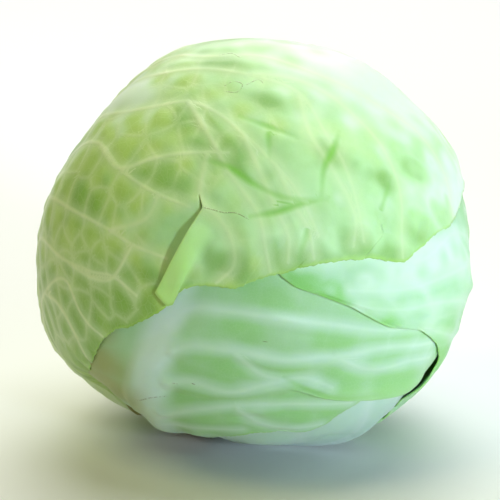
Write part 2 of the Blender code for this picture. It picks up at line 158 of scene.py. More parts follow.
def path_on_head(places, steps):
    """Directions along a smooth curve through places given as (azimuth, polar angle)."""
    rays = smooth_path(direction(*np.transpose(places)), steps)
    return rays / np.linalg.norm(rays, axis=1)[:, None]


def nearest(rays, samples):
    closest = np.zeros(len(rays), dtype=int)
    reach = np.zeros(len(rays))
    for start in range(0, len(rays), 8192):
        facing = rays[start:start + 8192] @ samples.T
        best = facing.argmax(axis=1)
        closest[start:start + 8192] = best
        reach[start:start + 8192] = facing[np.arange(len(best)), best]
    return np.arccos(np.clip(reach, -1.0, 1.0)), closest


# %% [markdown]
# ## A leaf's outline
#
# Each leaf is an outline round its own middle, drawn on the head. Seen from the middle the outline is a distance
# for every turn. Where a leaf is torn, its outline is in two stretches, from tear to tear, and the two sides of
# a tear start together at its tip. A real leaf's edge is never a clean curve, so small waves are added to it.

# %% The outline
MARGIN_EVENNESS = 0.6
OUTLINE_STEPS = 24
EDGE_WAVES = ((23, 1.0, 0.5), (37, 2.0, 0.3), (61, 0.0, 0.2))
NIBBLES = ((149, 0.4, 0.4), (233, 1.9, 0.35), (371, 0.8, 0.25))
NIBBLE_DEPTH = 0.0004


def waves(turns, kinds):
    return sum(share * np.sin(count * turns + phase) for count, phase, share in kinds)


class Outline:
    def __init__(self, name, middle, margins, tears=(), wave=0.0008):
        self.name, self.wave = name, wave
        azimuth, polar = middle
        self.up = direction(azimuth, polar)
        self.down = direction(azimuth, polar - 90.0)
        self.side = direction(azimuth + 90.0, 90.0)
        self.tears = list(tears)
        self.tips = [self.place(*tip) for tip, _ in self.tears]
        self.lay_out_margins(margins)

    def place(self, azimuth, polar):
        ray = direction(azimuth, polar)
        return math.atan2(ray @ self.side, ray @ self.down), math.acos(float(np.clip(ray @ self.up, -1, 1)))

    def rays(self, turns, reaches):
        turned = np.cos(turns)[:, None] * self.down + np.sin(turns)[:, None] * self.side
        return np.cos(reaches)[:, None] * self.up + np.sin(reaches)[:, None] * turned

    def lay_out_margins(self, margins):
        self.margins = []
        for i, margin in enumerate(margins):
            turns, reaches = np.transpose([self.place(*point) for point in margin])
            flat = np.stack([reaches * np.cos(turns), reaches * np.sin(turns)], axis=-1)
            curve = smooth_path(flat, OUTLINE_STEPS, closed=not self.tears)
            if not self.tears:
                curve = np.vstack([curve, curve[:1]])
            turns = np.maximum.accumulate(np.unwrap(np.arctan2(curve[:, 1], curve[:, 0])))
            reaches = np.hypot(curve[:, 0], curve[:, 1])
            begin, finish = turns[0], turns[-1]
            if self.tears:
                begin = self.close_to(self.tips[i][0], turns[0])
                finish = self.close_to(self.tips[(i + 1) % len(self.tips)][0], turns[-1])
            by_turn = (turns - turns[0]) / (turns[-1] - turns[0])
            strides = np.hypot(np.diff(reaches), np.sin(reaches[1:]) * np.diff(turns))
            by_length = np.append(0.0, np.cumsum(strides)) / strides.sum()
            shares = MARGIN_EVENNESS * by_length + (1.0 - MARGIN_EVENNESS) * by_turn
            self.margins.append((shares, turns, reaches, begin + (finish - begin) * by_turn))

    @staticmethod
    def close_to(turn, other):
        return turn + 2 * math.pi * round((other - turn) / (2 * math.pi))

    def on_margin(self, which, shares):
        known, turns, reaches, roots = self.margins[which]
        turn = np.interp(shares, known, turns)
        ragged = self.wave * waves(turn, EDGE_WAVES) + NIBBLE_DEPTH * waves(turn, NIBBLES)
        return turn, np.interp(shares, known, reaches) + ragged / FREE_RADIUS, np.interp(shares, known, roots)

    def limit(self, turn):
        """How far the leaf reaches at each turn."""
        limit = np.zeros(len(turn))
        for _, turns, reaches, _ in self.margins:
            around = turns[0] + np.mod(turn - turns[0], 2 * math.pi)
            limit = np.where(around <= turns[-1], np.maximum(limit, np.interp(around, turns, reaches)), limit)
        return limit

    def inward(self, rays):
        """Distance in from the margin, less than zero outside the leaf."""
        reach = np.arccos(np.clip(rays @ self.up, -1.0, 1.0))
        turn = np.arctan2(rays @ self.side, rays @ self.down)
        samples = np.vstack([self.rays(turns, reaches) for _, turns, reaches, _ in self.margins])
        angle, _ = nearest(rays, samples)
        return np.where(reach < self.limit(turn), angle, -angle) * FREE_RADIUS


# %% [markdown]
# ## A mesh that follows the outline
#
# The leaf is divided into six or so wedges round its middle, like a cut cake. The first ring of a wedge has one
# step, the next two, and so on, so all triangles come out about the same size. A tear always runs between two
# wedges: beyond its tip the points are doubled, and the two sides part, lift and slide over each other.

# %% The wedges and the tears
WEDGE_ANGLE = 60.0
TEAR_OPENING = 0.0009
TEAR_LIFT = PITCH + 0.0002
TEAR_START = 0.007
TEAR_RISE = 0.016
TEAR_START_SHARE = 0.45
TEAR_SPREAD = 0.040
TEAR_OVERLAP = 0.012
TEAR_RING_SHARE = 0.7
SHOW_START = 0.006
SHOW_REACH = 0.012


class Sheet(Outline):
    def lay_out_wedges(self):
        self.wedges = []
        for i, (_, _, _, roots) in enumerate(self.margins):
            count = max(1, round(math.degrees(roots[-1] - roots[0]) / WEDGE_ANGLE))
            self.wedges += [(i, step / count, (step + 1) / count) for step in range(count)]

    def tear_ring(self, rings):
        return max(1, round(rings * TEAR_RING_SHARE)) if self.tears else rings

    def inner_reach(self, roots, rings):
        known = [(turn % (2 * math.pi), reach) for turn, reach in self.tips]
        for which, start, _ in self.wedges:
            if start > 0.0:
                _, reach, root = self.on_margin(which, start)
                known.append((root % (2 * math.pi), self.tear_ring(rings) / rings * reach))
        at, reach = np.transpose(sorted(known))
        at = np.concatenate([at - 2 * math.pi, at, at + 2 * math.pi])
        return np.interp(np.mod(roots, 2 * math.pi), at, np.tile(reach, 3))

    def points(self, rings):
        self.lay_out_wedges()
        tip_ring, count = self.tear_ring(rings), len(self.wedges)
        rows, lines = [(0.0, 0, self.wedges[0][0])], {(wedge, 0): [0] for wedge in range(count)}
        for wedge, (which, start, end) in enumerate(self.wedges):
            ends_at_tear = bool(self.tears) and end == 1.0
            for ring in range(1, rings + 1):
                own = ring + 1 if ends_at_tear and ring > tip_ring else ring
                lines[wedge, ring] = list(range(len(rows), len(rows) + own))
                rows += [(start + (end - start) * step / ring, ring, which) for step in range(own)]
        triangles = []
        for wedge in range(count):
            for ring in range(1, rings + 1):
                if len(lines[wedge, ring]) == ring:
                    lines[wedge, ring].append(lines[(wedge + 1) % count, ring][0])
        for wedge in range(count):
            for ring in range(1, rings + 1):
                near, far = lines[wedge, ring - 1], lines[wedge, ring]
                triangles += [(near[i], far[i], far[i + 1]) for i in range(ring)]
                triangles += [(near[i], far[i + 1], near[i + 1]) for i in range(ring - 1)]
        shares, ring_numbers, which = np.transpose(rows)
        return shares, ring_numbers, which.astype(int), np.array(triangles)

    def spread_out(self, rings):
        shares, ring_numbers, which, triangles = self.points(rings)
        turns, reaches, margins, lifts, hidden = (np.zeros(len(shares)) for _ in range(5))
        tip_ring = self.tear_ring(rings)
        for i in range(len(self.margins)):
            own = which == i
            share, ring = shares[own], ring_numbers[own]
            turn, outer, root = self.on_margin(i, share)
            margins[own] = outer
            if not self.tears:
                turns[own], reaches[own] = turn, outer * ring / rings
                continue
            inner = self.inner_reach(root, rings)
            beyond = np.clip((ring - tip_ring) / (rings - tip_ring), 0.0, 1.0)
            reach = np.where(ring <= tip_ring, inner * ring / tip_ring, inner + (outer - inner) * beyond)
            length = (outer - inner) * FREE_RADIUS
            lifting = np.minimum(TEAR_START, TEAR_START_SHARE * length)
            slide = np.clip((beyond * length - lifting) / (length - lifting), 0.0, 1.0)
            opened = np.clip(beyond * length / lifting, 0.0, 1.0)
            roots, width = self.margins[i][3], np.sin(reach) * FREE_RADIUS
            from_start, from_end = (root - roots[0]) * width, (roots[-1] - root) * width
            hair = smoothstep(1.0 - from_start / TEAR_SPREAD) - smoothstep(1.0 - from_end / TEAR_SPREAD)
            parting = opened * hair * 0.5 * TEAR_OPENING / np.maximum(width, 0.01)
            turns[own] = root + slide * (turn - root) + parting
            reaches[own] = reach
            for (_, upper), name, away in ((self.tears[i], "after", from_start),
                                           (self.tears[(i + 1) % len(self.tears)], "before", from_end)):
                if upper == name:
                    rising = smoothstep(beyond * length / TEAR_RISE)
                    lift = TEAR_LIFT * rising * smoothstep(1.0 - away / TEAR_SPREAD)
                    lifts[own] = np.maximum(lifts[own], lift)
                else:
                    under = smoothstep(opened) * smoothstep(1.0 - (away - TEAR_OVERLAP) / SHOW_REACH)
                    hidden[own] = np.maximum(hidden[own], under)
        inward = (margins - reaches) * FREE_RADIUS
        return self.rays(turns, reaches), inward, lifts, hidden, triangles


# %% [markdown]
# ## Leaves lie on leaves
#
# A leaf has a real thickness, about a millimetre at this size and less at its edge. Whatever lies under it lifts
# it by one thickness and one small gap, and it drapes down again past the edge of what is under it. Ribs and
# veins only stand up where nothing lies on them. The leaf between the veins is blistered: it grew faster than
# its veins did, so it swells out between them. That swelling lifts both faces of the sheet.

# %% The leaf between what is under it and what is over it
MARGIN_THICKNESS = 0.0006
MARGIN_TAPER = 0.014
DRAPE_START = 0.004
DRAPE_REACH = 0.022
CURL_WAVES = ((7, 2.0, 0.3), (13, 0.0, 0.2))
CURL_MEAN = 0.5
CURL_REACH = 0.0056
HUG_DEPTH = 0.0042
RIB_STEPS = 40


class Leaf(Sheet):
    def __init__(self, name, middle, margins, ribs, tears=(), curl=0.0012):
        super().__init__(name, middle, margins, tears)
        self.curl = curl
        self.ribs = []
        for path, width, height, end_width, end_height in ribs:
            samples = path_on_head(path, RIB_STEPS)
            along = np.linspace(0.0, 1.0, len(samples))
            widths = width + (end_width - width) * along
            self.ribs.append((samples, widths, height + (end_height - height) * along))

    def cover(self, rays):
        return smoothstep(1.0 - (-self.inward(rays) - DRAPE_START) / DRAPE_REACH)

    def lift_over(self, rays):
        turn = np.arctan2(rays @ self.side, rays @ self.down)
        reach = np.arccos(np.clip(rays @ self.up, -1.0, 1.0))
        lift = np.zeros(len(rays))
        for tip_turn, tip_reach in self.tips:
            away = np.abs((turn - tip_turn + math.pi) % (2 * math.pi) - math.pi) * np.sin(reach) * FREE_RADIUS
            opened = smoothstep((reach - tip_reach) * FREE_RADIUS / TEAR_START)
            lift = np.maximum(lift, TEAR_LIFT * opened * smoothstep(1.0 - away / TEAR_SPREAD))
        return lift

    def rib_relief(self, rays):
        relief = np.zeros(len(rays))
        for samples, widths, heights in self.ribs:
            angle, closest = nearest(rays, samples)
            relief += heights[closest] * smoothstep(1.0 - angle * FREE_RADIUS / widths[closest])
        return relief

    def lay(self, rings, under, over, swell, ridges, hug):
        """Both faces of the leaf: swell lifts the sheet, ridges thicken it, hug bends its edge down."""
        rays, inward, lifts, hidden, triangles = self.spread_out(rings)
        inner = heart_radius(rays, [*under, self, *over]) + LEAF_GAP + lifts
        for leaf in under:
            inner += PITCH * leaf.cover(rays) + leaf.lift_over(rays)
        show = 1.0 - hidden
        for leaf in over:
            show *= smoothstep((-leaf.inward(rays) - SHOW_START) / SHOW_REACH)
        turn = np.arctan2(rays @ self.side, rays @ self.down)
        inner += self.curl * (CURL_MEAN + waves(turn, CURL_WAVES)) * show * np.exp(-inward / CURL_REACH)
        inner -= HUG_DEPTH * hug(rays) * np.exp(-inward / CURL_REACH)
        inner += swell(rays, lifts) * show * smoothstep(inward / MARGIN_TAPER)
        outer = inner + MARGIN_THICKNESS + (LEAF_THICKNESS - MARGIN_THICKNESS) * smoothstep(inward / MARGIN_TAPER)
        outer += (self.rib_relief(rays) + ridges(rays) * smoothstep(inward / 0.003)) * show
        outer = np.minimum(outer, floor_radius(rays))
        inner = np.minimum(inner, outer - MARGIN_THICKNESS)
        return rays, rays * inner[:, None], rays * outer[:, None], inward, show, triangles


# %% [markdown]
# ## The five leaves that show
#
# From the inside out: one behind, one low on the right, the pale one in front, one round the right side, and the
# green one that comes from behind on the left over the crown and is torn into three flaps in front.
# Every leaf starts at the stem, and its thick midrib runs from there.

# %% The leaves behind, low on the right and in front
back = Leaf("leaf_back", (-165, 66), [[
    (-165, 11), (-128, 11.5), (-116, 17), (-106, 34), (-102, 58), (-106, 84), (-122, 106), (-150, 122),
    (178, 124), (152, 112), (138, 90), (134, 64), (140, 38), (148, 20), (160, 11.5),
]], (
    ([(-165, 12), (-167, 50), (-168, 90), (-170, 112)], 0.014, 0.0038, 0.007, 0.0008),
    ([(-166, 40), (-152, 62), (-140, 78)], 0.005, 0.0010, 0.004, 0.0005),
    ([(-167, 48), (179, 68), (168, 84)], 0.005, 0.0010, 0.004, 0.0005),
))
lower_right = Leaf("leaf_lower_right", (76, 52), [[
    (95, 11), (132, 11.5), (146, 20), (148, 38), (146, 60), (130, 82), (100, 95), (72, 96), (50, 88),
    (32, 74), (18, 56), (8, 40), (6, 27), (10, 17), (40, 11.5), (70, 11),
]], (([(98, 12), (91, 30), (82, 48), (79, 64), (84, 84)], 0.014, 0.0036, 0.012, 0.0020),))
front = Leaf("leaf_front", (-4, 62), [[
    (65, 74), (68, 78), (71, 83), (74, 89), (70, 97), (50, 106),
    (25, 112), (0, 112), (-25, 106), (-48, 92), (-64, 72), (-70, 50), (-68, 30), (-66, 16), (-54, 11.5),
    (-17, 11), (22, 11.5), (22, 20), (20, 31), (25, 40), (34, 46.5), (41.5, 49), (44.5, 53.5), (46.5, 59),
    (48, 63.5), (50.5, 68),
]], (
    ([(-17, 12), (-15, 35), (-14.5, 58), (-12, 82)], 0.017, 0.0042, 0.009, 0.0008),
    ([(-9.1, 68.8), (1.8, 73.2), (14.2, 75.5), (26.8, 78.4), (42, 82.6)], 0.006, 0.0012, 0.005, 0.0006),
    ([(-9, 58), (6.3, 62.9), (20.2, 66.4), (31.3, 71.4), (48, 75), (66.9, 78)], 0.006, 0.0016, 0.005, 0.0007),
    ([(-8, 48), (11, 53.4), (20.5, 59.1), (29, 63.5)], 0.006, 0.0018, 0.005, 0.0012),
    ([(-8, 36), (0, 39.6), (15, 48.6), (32.5, 54.5), (44, 59)], 0.006, 0.0014, 0.005, 0.0006),
    ([(-50, 12), (-52, 24), (-46, 38)], 0.018, 0.0020, 0.014, 0.0010),
    ([(-19, 64), (-19.5, 52), (-24, 38), (-30, 26)], 0.0040, 0.0003, 0.006, 0.0014),
), (((23.5, 60.3), "after"),))

# %% The leaf round the right side, and the outermost leaf
right = Leaf("leaf_right_side", (108, 100), [[
    (135, 11), (168, 11.5), (172, 24), (172, 45), (175, 70), (172, 95), (155, 118), (125, 132), (90, 140),
    (55, 135), (28, 122), (10, 106), (6, 92), (8.5, 85.5), (12.5, 84), (18.6, 84.2), (27, 84.4), (40.6, 83.7),
    (49.8, 85.5), (57, 84.8), (65.7, 82), (70, 79.5), (70.5, 76.5), (70.5, 73), (72.5, 68), (79, 62), (88, 53.5),
    (99, 42), (104, 28), (108, 12),
]], (
    ([(135, 12), (132, 50), (118, 90), (95, 120)], 0.013, 0.0034, 0.007, 0.0008),
    ([(122, 72), (100, 84), (75, 89), (45, 87.5)], 0.005, 0.0010, 0.004, 0.0005),
    ([(118, 86), (98, 98), (79, 101), (57, 95)], 0.005, 0.0010, 0.004, 0.0005),
))
crown = Leaf("leaf_over_crown", (-68, 138), [[
    (23.5, 95.8), (28, 96.6), (31.9, 97.1), (36.2, 98.5), (40, 102.7), (44.5, 107), (50.4, 111), (57.3, 115.5),
    (65, 123), (82, 128), (108, 126), (135, 118), (160, 108), (-176, 96), (-157, 78), (-144, 58), (-133, 36),
    (-128, 18), (-120, 11.5), (-98, 11), (-83, 15.5), (-76, 20.5), (-68, 26), (-59, 31), (-50, 35.5),
    (-42.5, 42), (-36, 47.5), (-31.9, 52.9), (-27.8, 56.9), (-22, 60), (-17.5, 63.8), (-14.5, 68),
    (-12.5, 72.5), (-10, 76.5),
], [
    (-17.8, 70.6), (-13.3, 69), (-11.3, 73.4), (-6.9, 76.4), (-1, 78.2), (4.6, 82.3),
    (8.7, 86), (14.8, 90.2), (20, 93.2), (25.3, 96),
]], (
    ([(-95, 12), (-98, 55), (-90, 95), (-62, 135)], 0.013, 0.0034, 0.007, 0.0006),
    ([(-15.6, 92), (-12.8, 83), (-11.3, 75)], 0.008, 0.0012, 0.008, 0.0016),
), (((27.3, 104.7), "before"), ((-16, 95.8), "after")))
leaves = [back, lower_right, front, right, crown]
print(len(leaves), "leaves:", ", ".join(leaf.name for leaf in leaves))

# %% [markdown]
# ## Veins drawn from life
#
# Side veins leave the midrib, run outwards and fork. Where a vein is clear on the real head it is drawn through
# its own points, as (azimuth, polar angle), and starts at the midrib. The thick end of a vein is about 3 mm
# across on the outermost leaves, and the thin end about 1 mm.

# %% The veins that can be seen from the front
seen_veins = {
    "leaf_over_crown": (
        [(-95, 58), (-80, 73), (-65, 81), (-47, 81), (-34, 80), (-27, 79), (-18, 79)],
        [(-96, 46), (-80, 61), (-64, 71), (-49, 69), (-37, 69), (-30, 70), (-23, 68)],
        [(-92, 76), (-70, 92), (-48, 98), (-37, 94), (-25, 92), (-17, 92)],
        [(-48, 98), (-37, 94.5), (-31, 99), (-26, 102), (-14, 107)],
        [(-90, 88), (-76, 99), (-62, 105), (-48, 108), (-39, 112), (-31, 116), (-23, 116), (-13, 113), (-1, 108),
         (7, 103), (13, 97)],
        [(-96, 34), (-76, 50), (-61, 58), (-47, 64), (-40, 57), (-32, 53.5)],
        [(-49, 69), (-30, 70), (-28, 75), (-27, 79)],
        [(-34, 80), (-25, 87), (-25, 92)],
        [(-61, 58), (-51, 57), (-45, 52), (-42, 45), (-46, 36)],
        [(-84, 104), (-66, 116), (-49, 121), (-35, 127), (-21, 130), (-4, 130), (9, 120), (18, 110), (24, 100)],
        [(-75, 120), (-56, 129), (-41, 131), (-23, 138), (0, 139), (19, 138), (40, 133), (51, 125), (54, 115)],
        [(-21, 130), (-5, 134), (15, 130), (23, 125), (29, 118), (32, 112), (34, 105), (36, 100)],
        [(-31, 116), (-18, 108), (-10, 102), (-5, 99), (-1, 96), (3, 90), (6, 85.5)],
        [(-12, 112.5), (-3, 104), (3, 98), (7, 94), (9, 89)],
        [(-1, 108), (6, 101), (11, 97), (14, 92)],
        [(-18, 104), (-14, 94), (-9, 92), (-5, 89), (-2, 83), (-4, 78.5)],
        [(-4, 130), (4, 119), (11, 113), (17, 108), (21, 103), (22, 98)],
    ),
    "leaf_right_side": (
        [(122, 72), (108, 84), (90, 92), (69, 96), (52, 93), (40, 88), (30, 85.5)],
        [(119, 84), (104, 96), (86, 103), (69, 105), (54, 100), (40, 93), (26, 88)],
        [(114, 96), (98, 106), (78, 111), (54, 110), (43, 101), (36, 99), (24, 95), (12, 89)],
        [(126, 60), (112, 74), (100, 82), (84, 86), (65, 87), (52, 86.5)],
        [(69, 105), (56, 112), (46, 116)],
        [(108, 107), (94, 117), (72, 120)],
        [(130, 46), (116, 58), (100, 68), (90, 74), (80, 77)],
    ),
    "leaf_front": (
        [(-12, 64), (-9, 69), (2, 73), (14, 76), (26, 79), (42, 83), (54, 88)],
        [(-13, 52), (-8, 59), (6, 64), (19, 67), (30, 72), (41, 72.5), (52, 77.5), (62, 80)],
        [(30, 72), (41, 78), (57, 83), (66, 86)],
        [(-13, 42), (-5, 50), (11, 54), (19, 60), (27, 64.5), (34, 65)],
        [(-14, 30), (0, 41), (14, 50), (31, 57), (45, 62)],
        [(14, 50), (25, 47), (36, 49), (43, 53)],
        [(6, 64), (16, 61), (22, 62)],
        [(-15, 24), (-2, 30), (10, 36), (22, 42)],
    ),
    "leaf_lower_right": (
        [(95, 26), (84, 42), (66, 54), (50, 66)],
        [(95, 36), (84, 54), (74, 68), (66, 80)],
        [(95, 20), (74, 32), (52, 42), (34, 52)],
    ),
    "leaf_back": (),
}
print("veins drawn from life:", sum(len(paths) for paths in seen_veins.values()))

# %% [markdown]
# ## Veins that grow by rule
#
# The sides that can't be seen from the front get veins too. They leave the midrib one after the other at about
# 45 degrees, bend towards the leaf's tip, and stop short of the edge. Every vein, drawn or grown, then forks
# into finer ones. All of this happens on the leaf laid flat, in millimetres round its middle.

# %% The leaf laid flat, and veins growing on it
FLAT_SCALE = FREE_RADIUS * 1000
VEIN_LENGTH = 95.0
VEIN_BEND, FORK_BEND = 0.0035, 0.010
rng = np.random.default_rng(11)


def lay_flat(leaf, rays):
    reach = np.arccos(np.clip(rays @ leaf.up, -1.0, 1.0)) * FLAT_SCALE
    turn = np.arctan2(rays @ leaf.side, rays @ leaf.down)
    return np.stack([reach * np.cos(turn), reach * np.sin(turn)], axis=-1)


def flat_path(leaf, places, steps):
    return lay_flat(leaf, path_on_head(places, steps))


def put_back(leaf, flat):
    return leaf.rays(np.arctan2(flat[:, 1], flat[:, 0]), np.hypot(flat[:, 0], flat[:, 1]) / FLAT_SCALE)


def evenly(path, step=1.5):
    """The same path with its points evenly apart, in mm."""
    total = np.append(0.0, np.cumsum(np.linalg.norm(np.diff(path, axis=0), axis=1)))
    places = np.linspace(0.0, total[-1], max(3, int(total[-1] / step) + 1))
    return np.stack([np.interp(places, total, path[:, k]) for k in (0, 1)], axis=-1)


def room(leaf, spot):
    """Millimetres from a spot to the margin, straight out from the middle."""
    return float(leaf.limit(np.array([math.atan2(spot[1], spot[0])]))[0]) * FLAT_SCALE - math.hypot(*spot)


def grow(leaf, spot, heading, bend, length, keep=4.0, step=1.5):
    path = [np.array(spot)]
    for i in range(int(length / step)):
        heading += bend * step + 0.05 * math.sin(0.21 * i + spot[0])
        spot = path[-1] + step * np.array([math.cos(heading), math.sin(heading)])
        if room(leaf, spot) < keep:
            break
        path.append(spot)
    return np.array(path)


def side_veins(leaf, sides, first=14.0, apart=15.0):
    """Veins that leave the midrib on the given sides, +1 being the one at larger azimuth."""
    midrib = lay_flat(leaf, leaf.ribs[0][0])
    strides = np.linalg.norm(np.diff(midrib, axis=0), axis=1)
    along = np.append(0.0, np.cumsum(strides))
    grown = []
    for side in sides:
        place = first if side > 0 else first + apart / 2
        while place < along[-1] - 6:
            i = int(np.searchsorted(along, place)) - 1
            tangent = midrib[i + 1] - midrib[i]
            heading = math.atan2(tangent[1], tangent[0]) - side * math.radians(58 - 18 * place / along[-1])
            grown.append(grow(leaf, midrib[i], heading, side * VEIN_BEND, VEIN_LENGTH))
            place += apart * (0.85 + 0.3 * rng.random())
    return [path for path in grown if len(path) > 8]


def forks(leaf, paths, apart=24.0, length=26.0):
    grown = []
    for path in paths:
        step = np.linalg.norm(path[1] - path[0])
        side = 1
        for i in range(int(12 / step), len(path) - int(8 / step), max(1, int(apart / step))):
            tangent = path[i + 1] - path[i]
            heading = math.atan2(tangent[1], tangent[0]) + side * math.radians(38 + 14 * rng.random())
            grown.append(grow(leaf, path[i], heading, -side * FORK_BEND, length * (0.6 + 0.5 * rng.random())))
            side = -side
    return [path for path in grown if len(path) > 5]


# %% [markdown]
# ## Lines that a surface can be measured against
#
# All veins of a leaf become one long list of short stretches. For any place on the leaf the list tells how far
# the closest vein is, on which side, and how wide it is there. The side matters: a distance that changes its
# sign across the vein keeps the vein's middle sharp between two points of the mesh.

# %% Measuring the distance to a set of lines
class Lines:
    def __init__(self):
        self.at, self.along, self.width = [], [], []

    def add(self, leaf, flat, widths):
        rays = put_back(leaf, evenly(flat, 1.0))
        tangent = np.gradient(rays, axis=0)
        self.at += list(rays)
        self.along += list(tangent / np.linalg.norm(tangent, axis=1)[:, None])
        self.width += list(np.interp(np.linspace(0, 1, len(rays)), np.linspace(0, 1, len(widths)), widths))

    def close(self):
        self.at, self.along, self.width = np.array(self.at), np.array(self.along), np.array(self.width)
        self.tree = KDTree(len(self.at))
        for i, place in enumerate(self.at):
            self.tree.insert(place, i)
        self.tree.balance()

    def measure(self, rays):
        """Millimetres to the side of the closest line, straight to it, and that line's half width."""
        found = [self.tree.find(ray) for ray in rays]
        closest = np.array([index for _, index, _ in found])
        near = np.array([distance for _, _, distance in found]) * FLAT_SCALE
        across = np.cross(self.at[closest], self.along[closest])
        side = np.sum(rays * across, axis=1) * FLAT_SCALE
        return np.stack([side, near, self.width[closest]], axis=-1)


# %% [markdown]
# ## The net between the veins
#
# Between the side veins lies a net of finer ones, with meshes of 10 to 18 mm. Cells that grew against each other
# meet halfway, so the net is drawn as the borders between scattered seeds. Seeds in pairs along each vein make
# the borders start square from the vein, as they do on a leaf.

# %% The net
NET_APART = 16.0
PAIR_APART = 0.62 * NET_APART
PAIR_STEP = 17.0
PAIR_OFFSET = 7.0
SEEDS_TRIED = 9000
SHORTEST_BORDER, LONGEST_BORDER = 1.5, 26
BORDER_BOW = 0.07


def net_of(leaf, veins):
    seeds, tags = [], []
    for number, path in enumerate(veins):
        step = np.linalg.norm(path[1] - path[0])
        for i in range(0, len(path) - 1, max(1, int(PAIR_STEP / step))):
            tangent = path[i + 1] - path[i]
            normal = np.array([-tangent[1], tangent[0]]) / np.linalg.norm(tangent)
            for side in (1, -1):
                seed = path[i] + side * PAIR_OFFSET * normal
                if all(math.hypot(*(seed - other)) > PAIR_APART for other in seeds[-40:]):
                    seeds.append(seed)
                    tags.append((number, side))
    reach = float(max(reaches.max() for _, _, reaches, _ in leaf.margins)) * FLAT_SCALE
    for spot in rng.uniform(-reach, reach, (SEEDS_TRIED, 2)):
        if room(leaf, spot) > -6 and np.min(np.linalg.norm(np.array(seeds) - spot, axis=1)) > NET_APART:
            seeds.append(spot)
            tags.append((-1 - len(seeds), 0))
    found = delaunay_2d_cdt([Vector(seed) for seed in seeds], [], [], 0, 0.001)
    points, triangles = [np.array(point) for point in found[0]], found[2]
    middles, shared = [], {}
    for number, (a, b, c) in enumerate(triangles):
        pa, pb, pc = points[a], points[b], points[c]
        rows = 2 * np.array([pb - pa, pc - pa])
        middles.append(np.linalg.solve(rows, np.array([pb @ pb - pa @ pa, pc @ pc - pa @ pa])))
        for edge in ((a, b), (b, c), (c, a)):
            shared.setdefault(tuple(sorted(edge)), []).append(number)
    borders = []
    for (a, b), sides in shared.items():
        if len(sides) < 2 or (tags[a][0] == tags[b][0] and tags[a][1] == -tags[b][1]):
            continue
        start, end = middles[sides[0]], middles[sides[1]]
        length = np.linalg.norm(end - start)
        if SHORTEST_BORDER < length < LONGEST_BORDER and room(leaf, start) > 1 and room(leaf, end) > 1:
            bow = np.array([start[1] - end[1], end[0] - start[0]]) * rng.normal(0.0, BORDER_BOW)
            t = np.linspace(0.0, 1.0, 7)[:, None]
            borders.append(start + (end - start) * t + bow * 4 * t * (1 - t))
    return borders


GROWN_SIDES = {"leaf_over_crown": (-1,), "leaf_right_side": (1,), "leaf_front": (), "leaf_lower_right": (1,),
               "leaf_back": (1, -1)}
MAIN_WIDTHS, FINE_WIDTHS, NET_WIDTHS = (1.5, 0.6), (0.75, 0.35), (0.6,)
leaf_lines = {}
for leaf in leaves:
    main = [evenly(flat_path(leaf, path, 10)) for path in seen_veins[leaf.name]]
    grown = side_veins(leaf, GROWN_SIDES[leaf.name])
    main += grown
    fine = forks(leaf, grown)
    veins, net = Lines(), Lines()
    borders = net_of(leaf, main + fine)
    for drawn, paths, widths in ((veins, main, MAIN_WIDTHS), (veins, fine, FINE_WIDTHS),
                                 (net, borders, NET_WIDTHS)):
        for path in paths:
            drawn.add(leaf, path, widths)
    veins.close()
    net.close()
    leaf_lines[leaf.name] = (veins, net)
    print(leaf.name, "has", len(main), "side veins,", len(fine), "forks and", len(borders), "borders in its net")

# %% [markdown]
# ## Creases, folds and scars
#
# Where the outer leaf was pushed sideways it has a few creases. They are grooves: the sheet swells everywhere
# except along them, and their darker, greener colour is painted shade in the groove. Here and there the skin was
# scratched in the field and healed with a thin brown scar.

# %% Creases and scars that can be seen from the front
creases_seen = {
    "leaf_over_crown": (
        ([(-18, 103.5), (-12, 104), (-5, 102.5), (3, 102), (12, 105)], (0.2, 1.5, 0.8, 0.7, 0.3)),
        ([(-2, 95.5), (2, 98), (7, 102), (12, 105.5)], (0.5, 1.4, 1.1, 0.3)),
        ([(11, 123), (10.5, 118), (9.5, 112), (11, 105)], (0.2, 1.7, 0.9, 0.3)),
        ([(-15, 117), (-9, 117), (0, 117)], (0.4, 1.2, 0.2)),
        ([(-6, 114), (-4, 110)], (0.9, 0.2)),
        ([(27.5, 116), (26.5, 109)], (0.2, 0.8)),
        ([(-18, 71.5), (-14, 73.6), (-10.3, 75.6)], (0.5, 0.7, 0.5)),
        ([(10.5, 96), (11, 91)], (0.8, 0.2)),
    ),
    "leaf_front": (
        ([(22, 62.5), (30, 62.2), (38, 63.5), (47, 67)], (0.3, 0.9, 0.6, 0.2)),
    ),
    "leaf_lower_right": (([(56, 43.5), (54, 48.5), (66, 51), (80, 50)], (0.3, 0.8, 0.6, 0.2)),),
}
scars_seen = {
    "leaf_over_crown": (
        [(-13.5, 93), (-11, 93.4), (-9, 93.6), (-6, 94.6), (-3, 94.4)],
        [(-25, 124), (-23.5, 126.2), (-20.5, 126.2), (-20.5, 123.4), (-24, 122.4)],
        [(-19.5, 126.4), (-17, 129.6), (-15.5, 129)],
        [(-36, 133.5), (-33, 135.6), (-29, 135), (-26, 137)],
        [(-40.2, 128), (-39.6, 128.3)],
    ),
    "leaf_front": (
        [(-19, 37.6), (-16, 39.4), (-13, 41.2), (-8, 43)],
        [(-6.3, 49), (-5.4, 49.2)],
        [(-1.2, 51), (-0.4, 51.1)],
        [(12, 69), (12.6, 69.2)],
    ),
}


def lines_from(leaf, kinds):
    """Lines from (places, half widths in mm) pairs, or None where there are none."""
    drawn = Lines()
    for path, widths in kinds:
        drawn.add(leaf, flat_path(leaf, path, 12), widths)
    if not drawn.at:
        return None
    drawn.close()
    return drawn


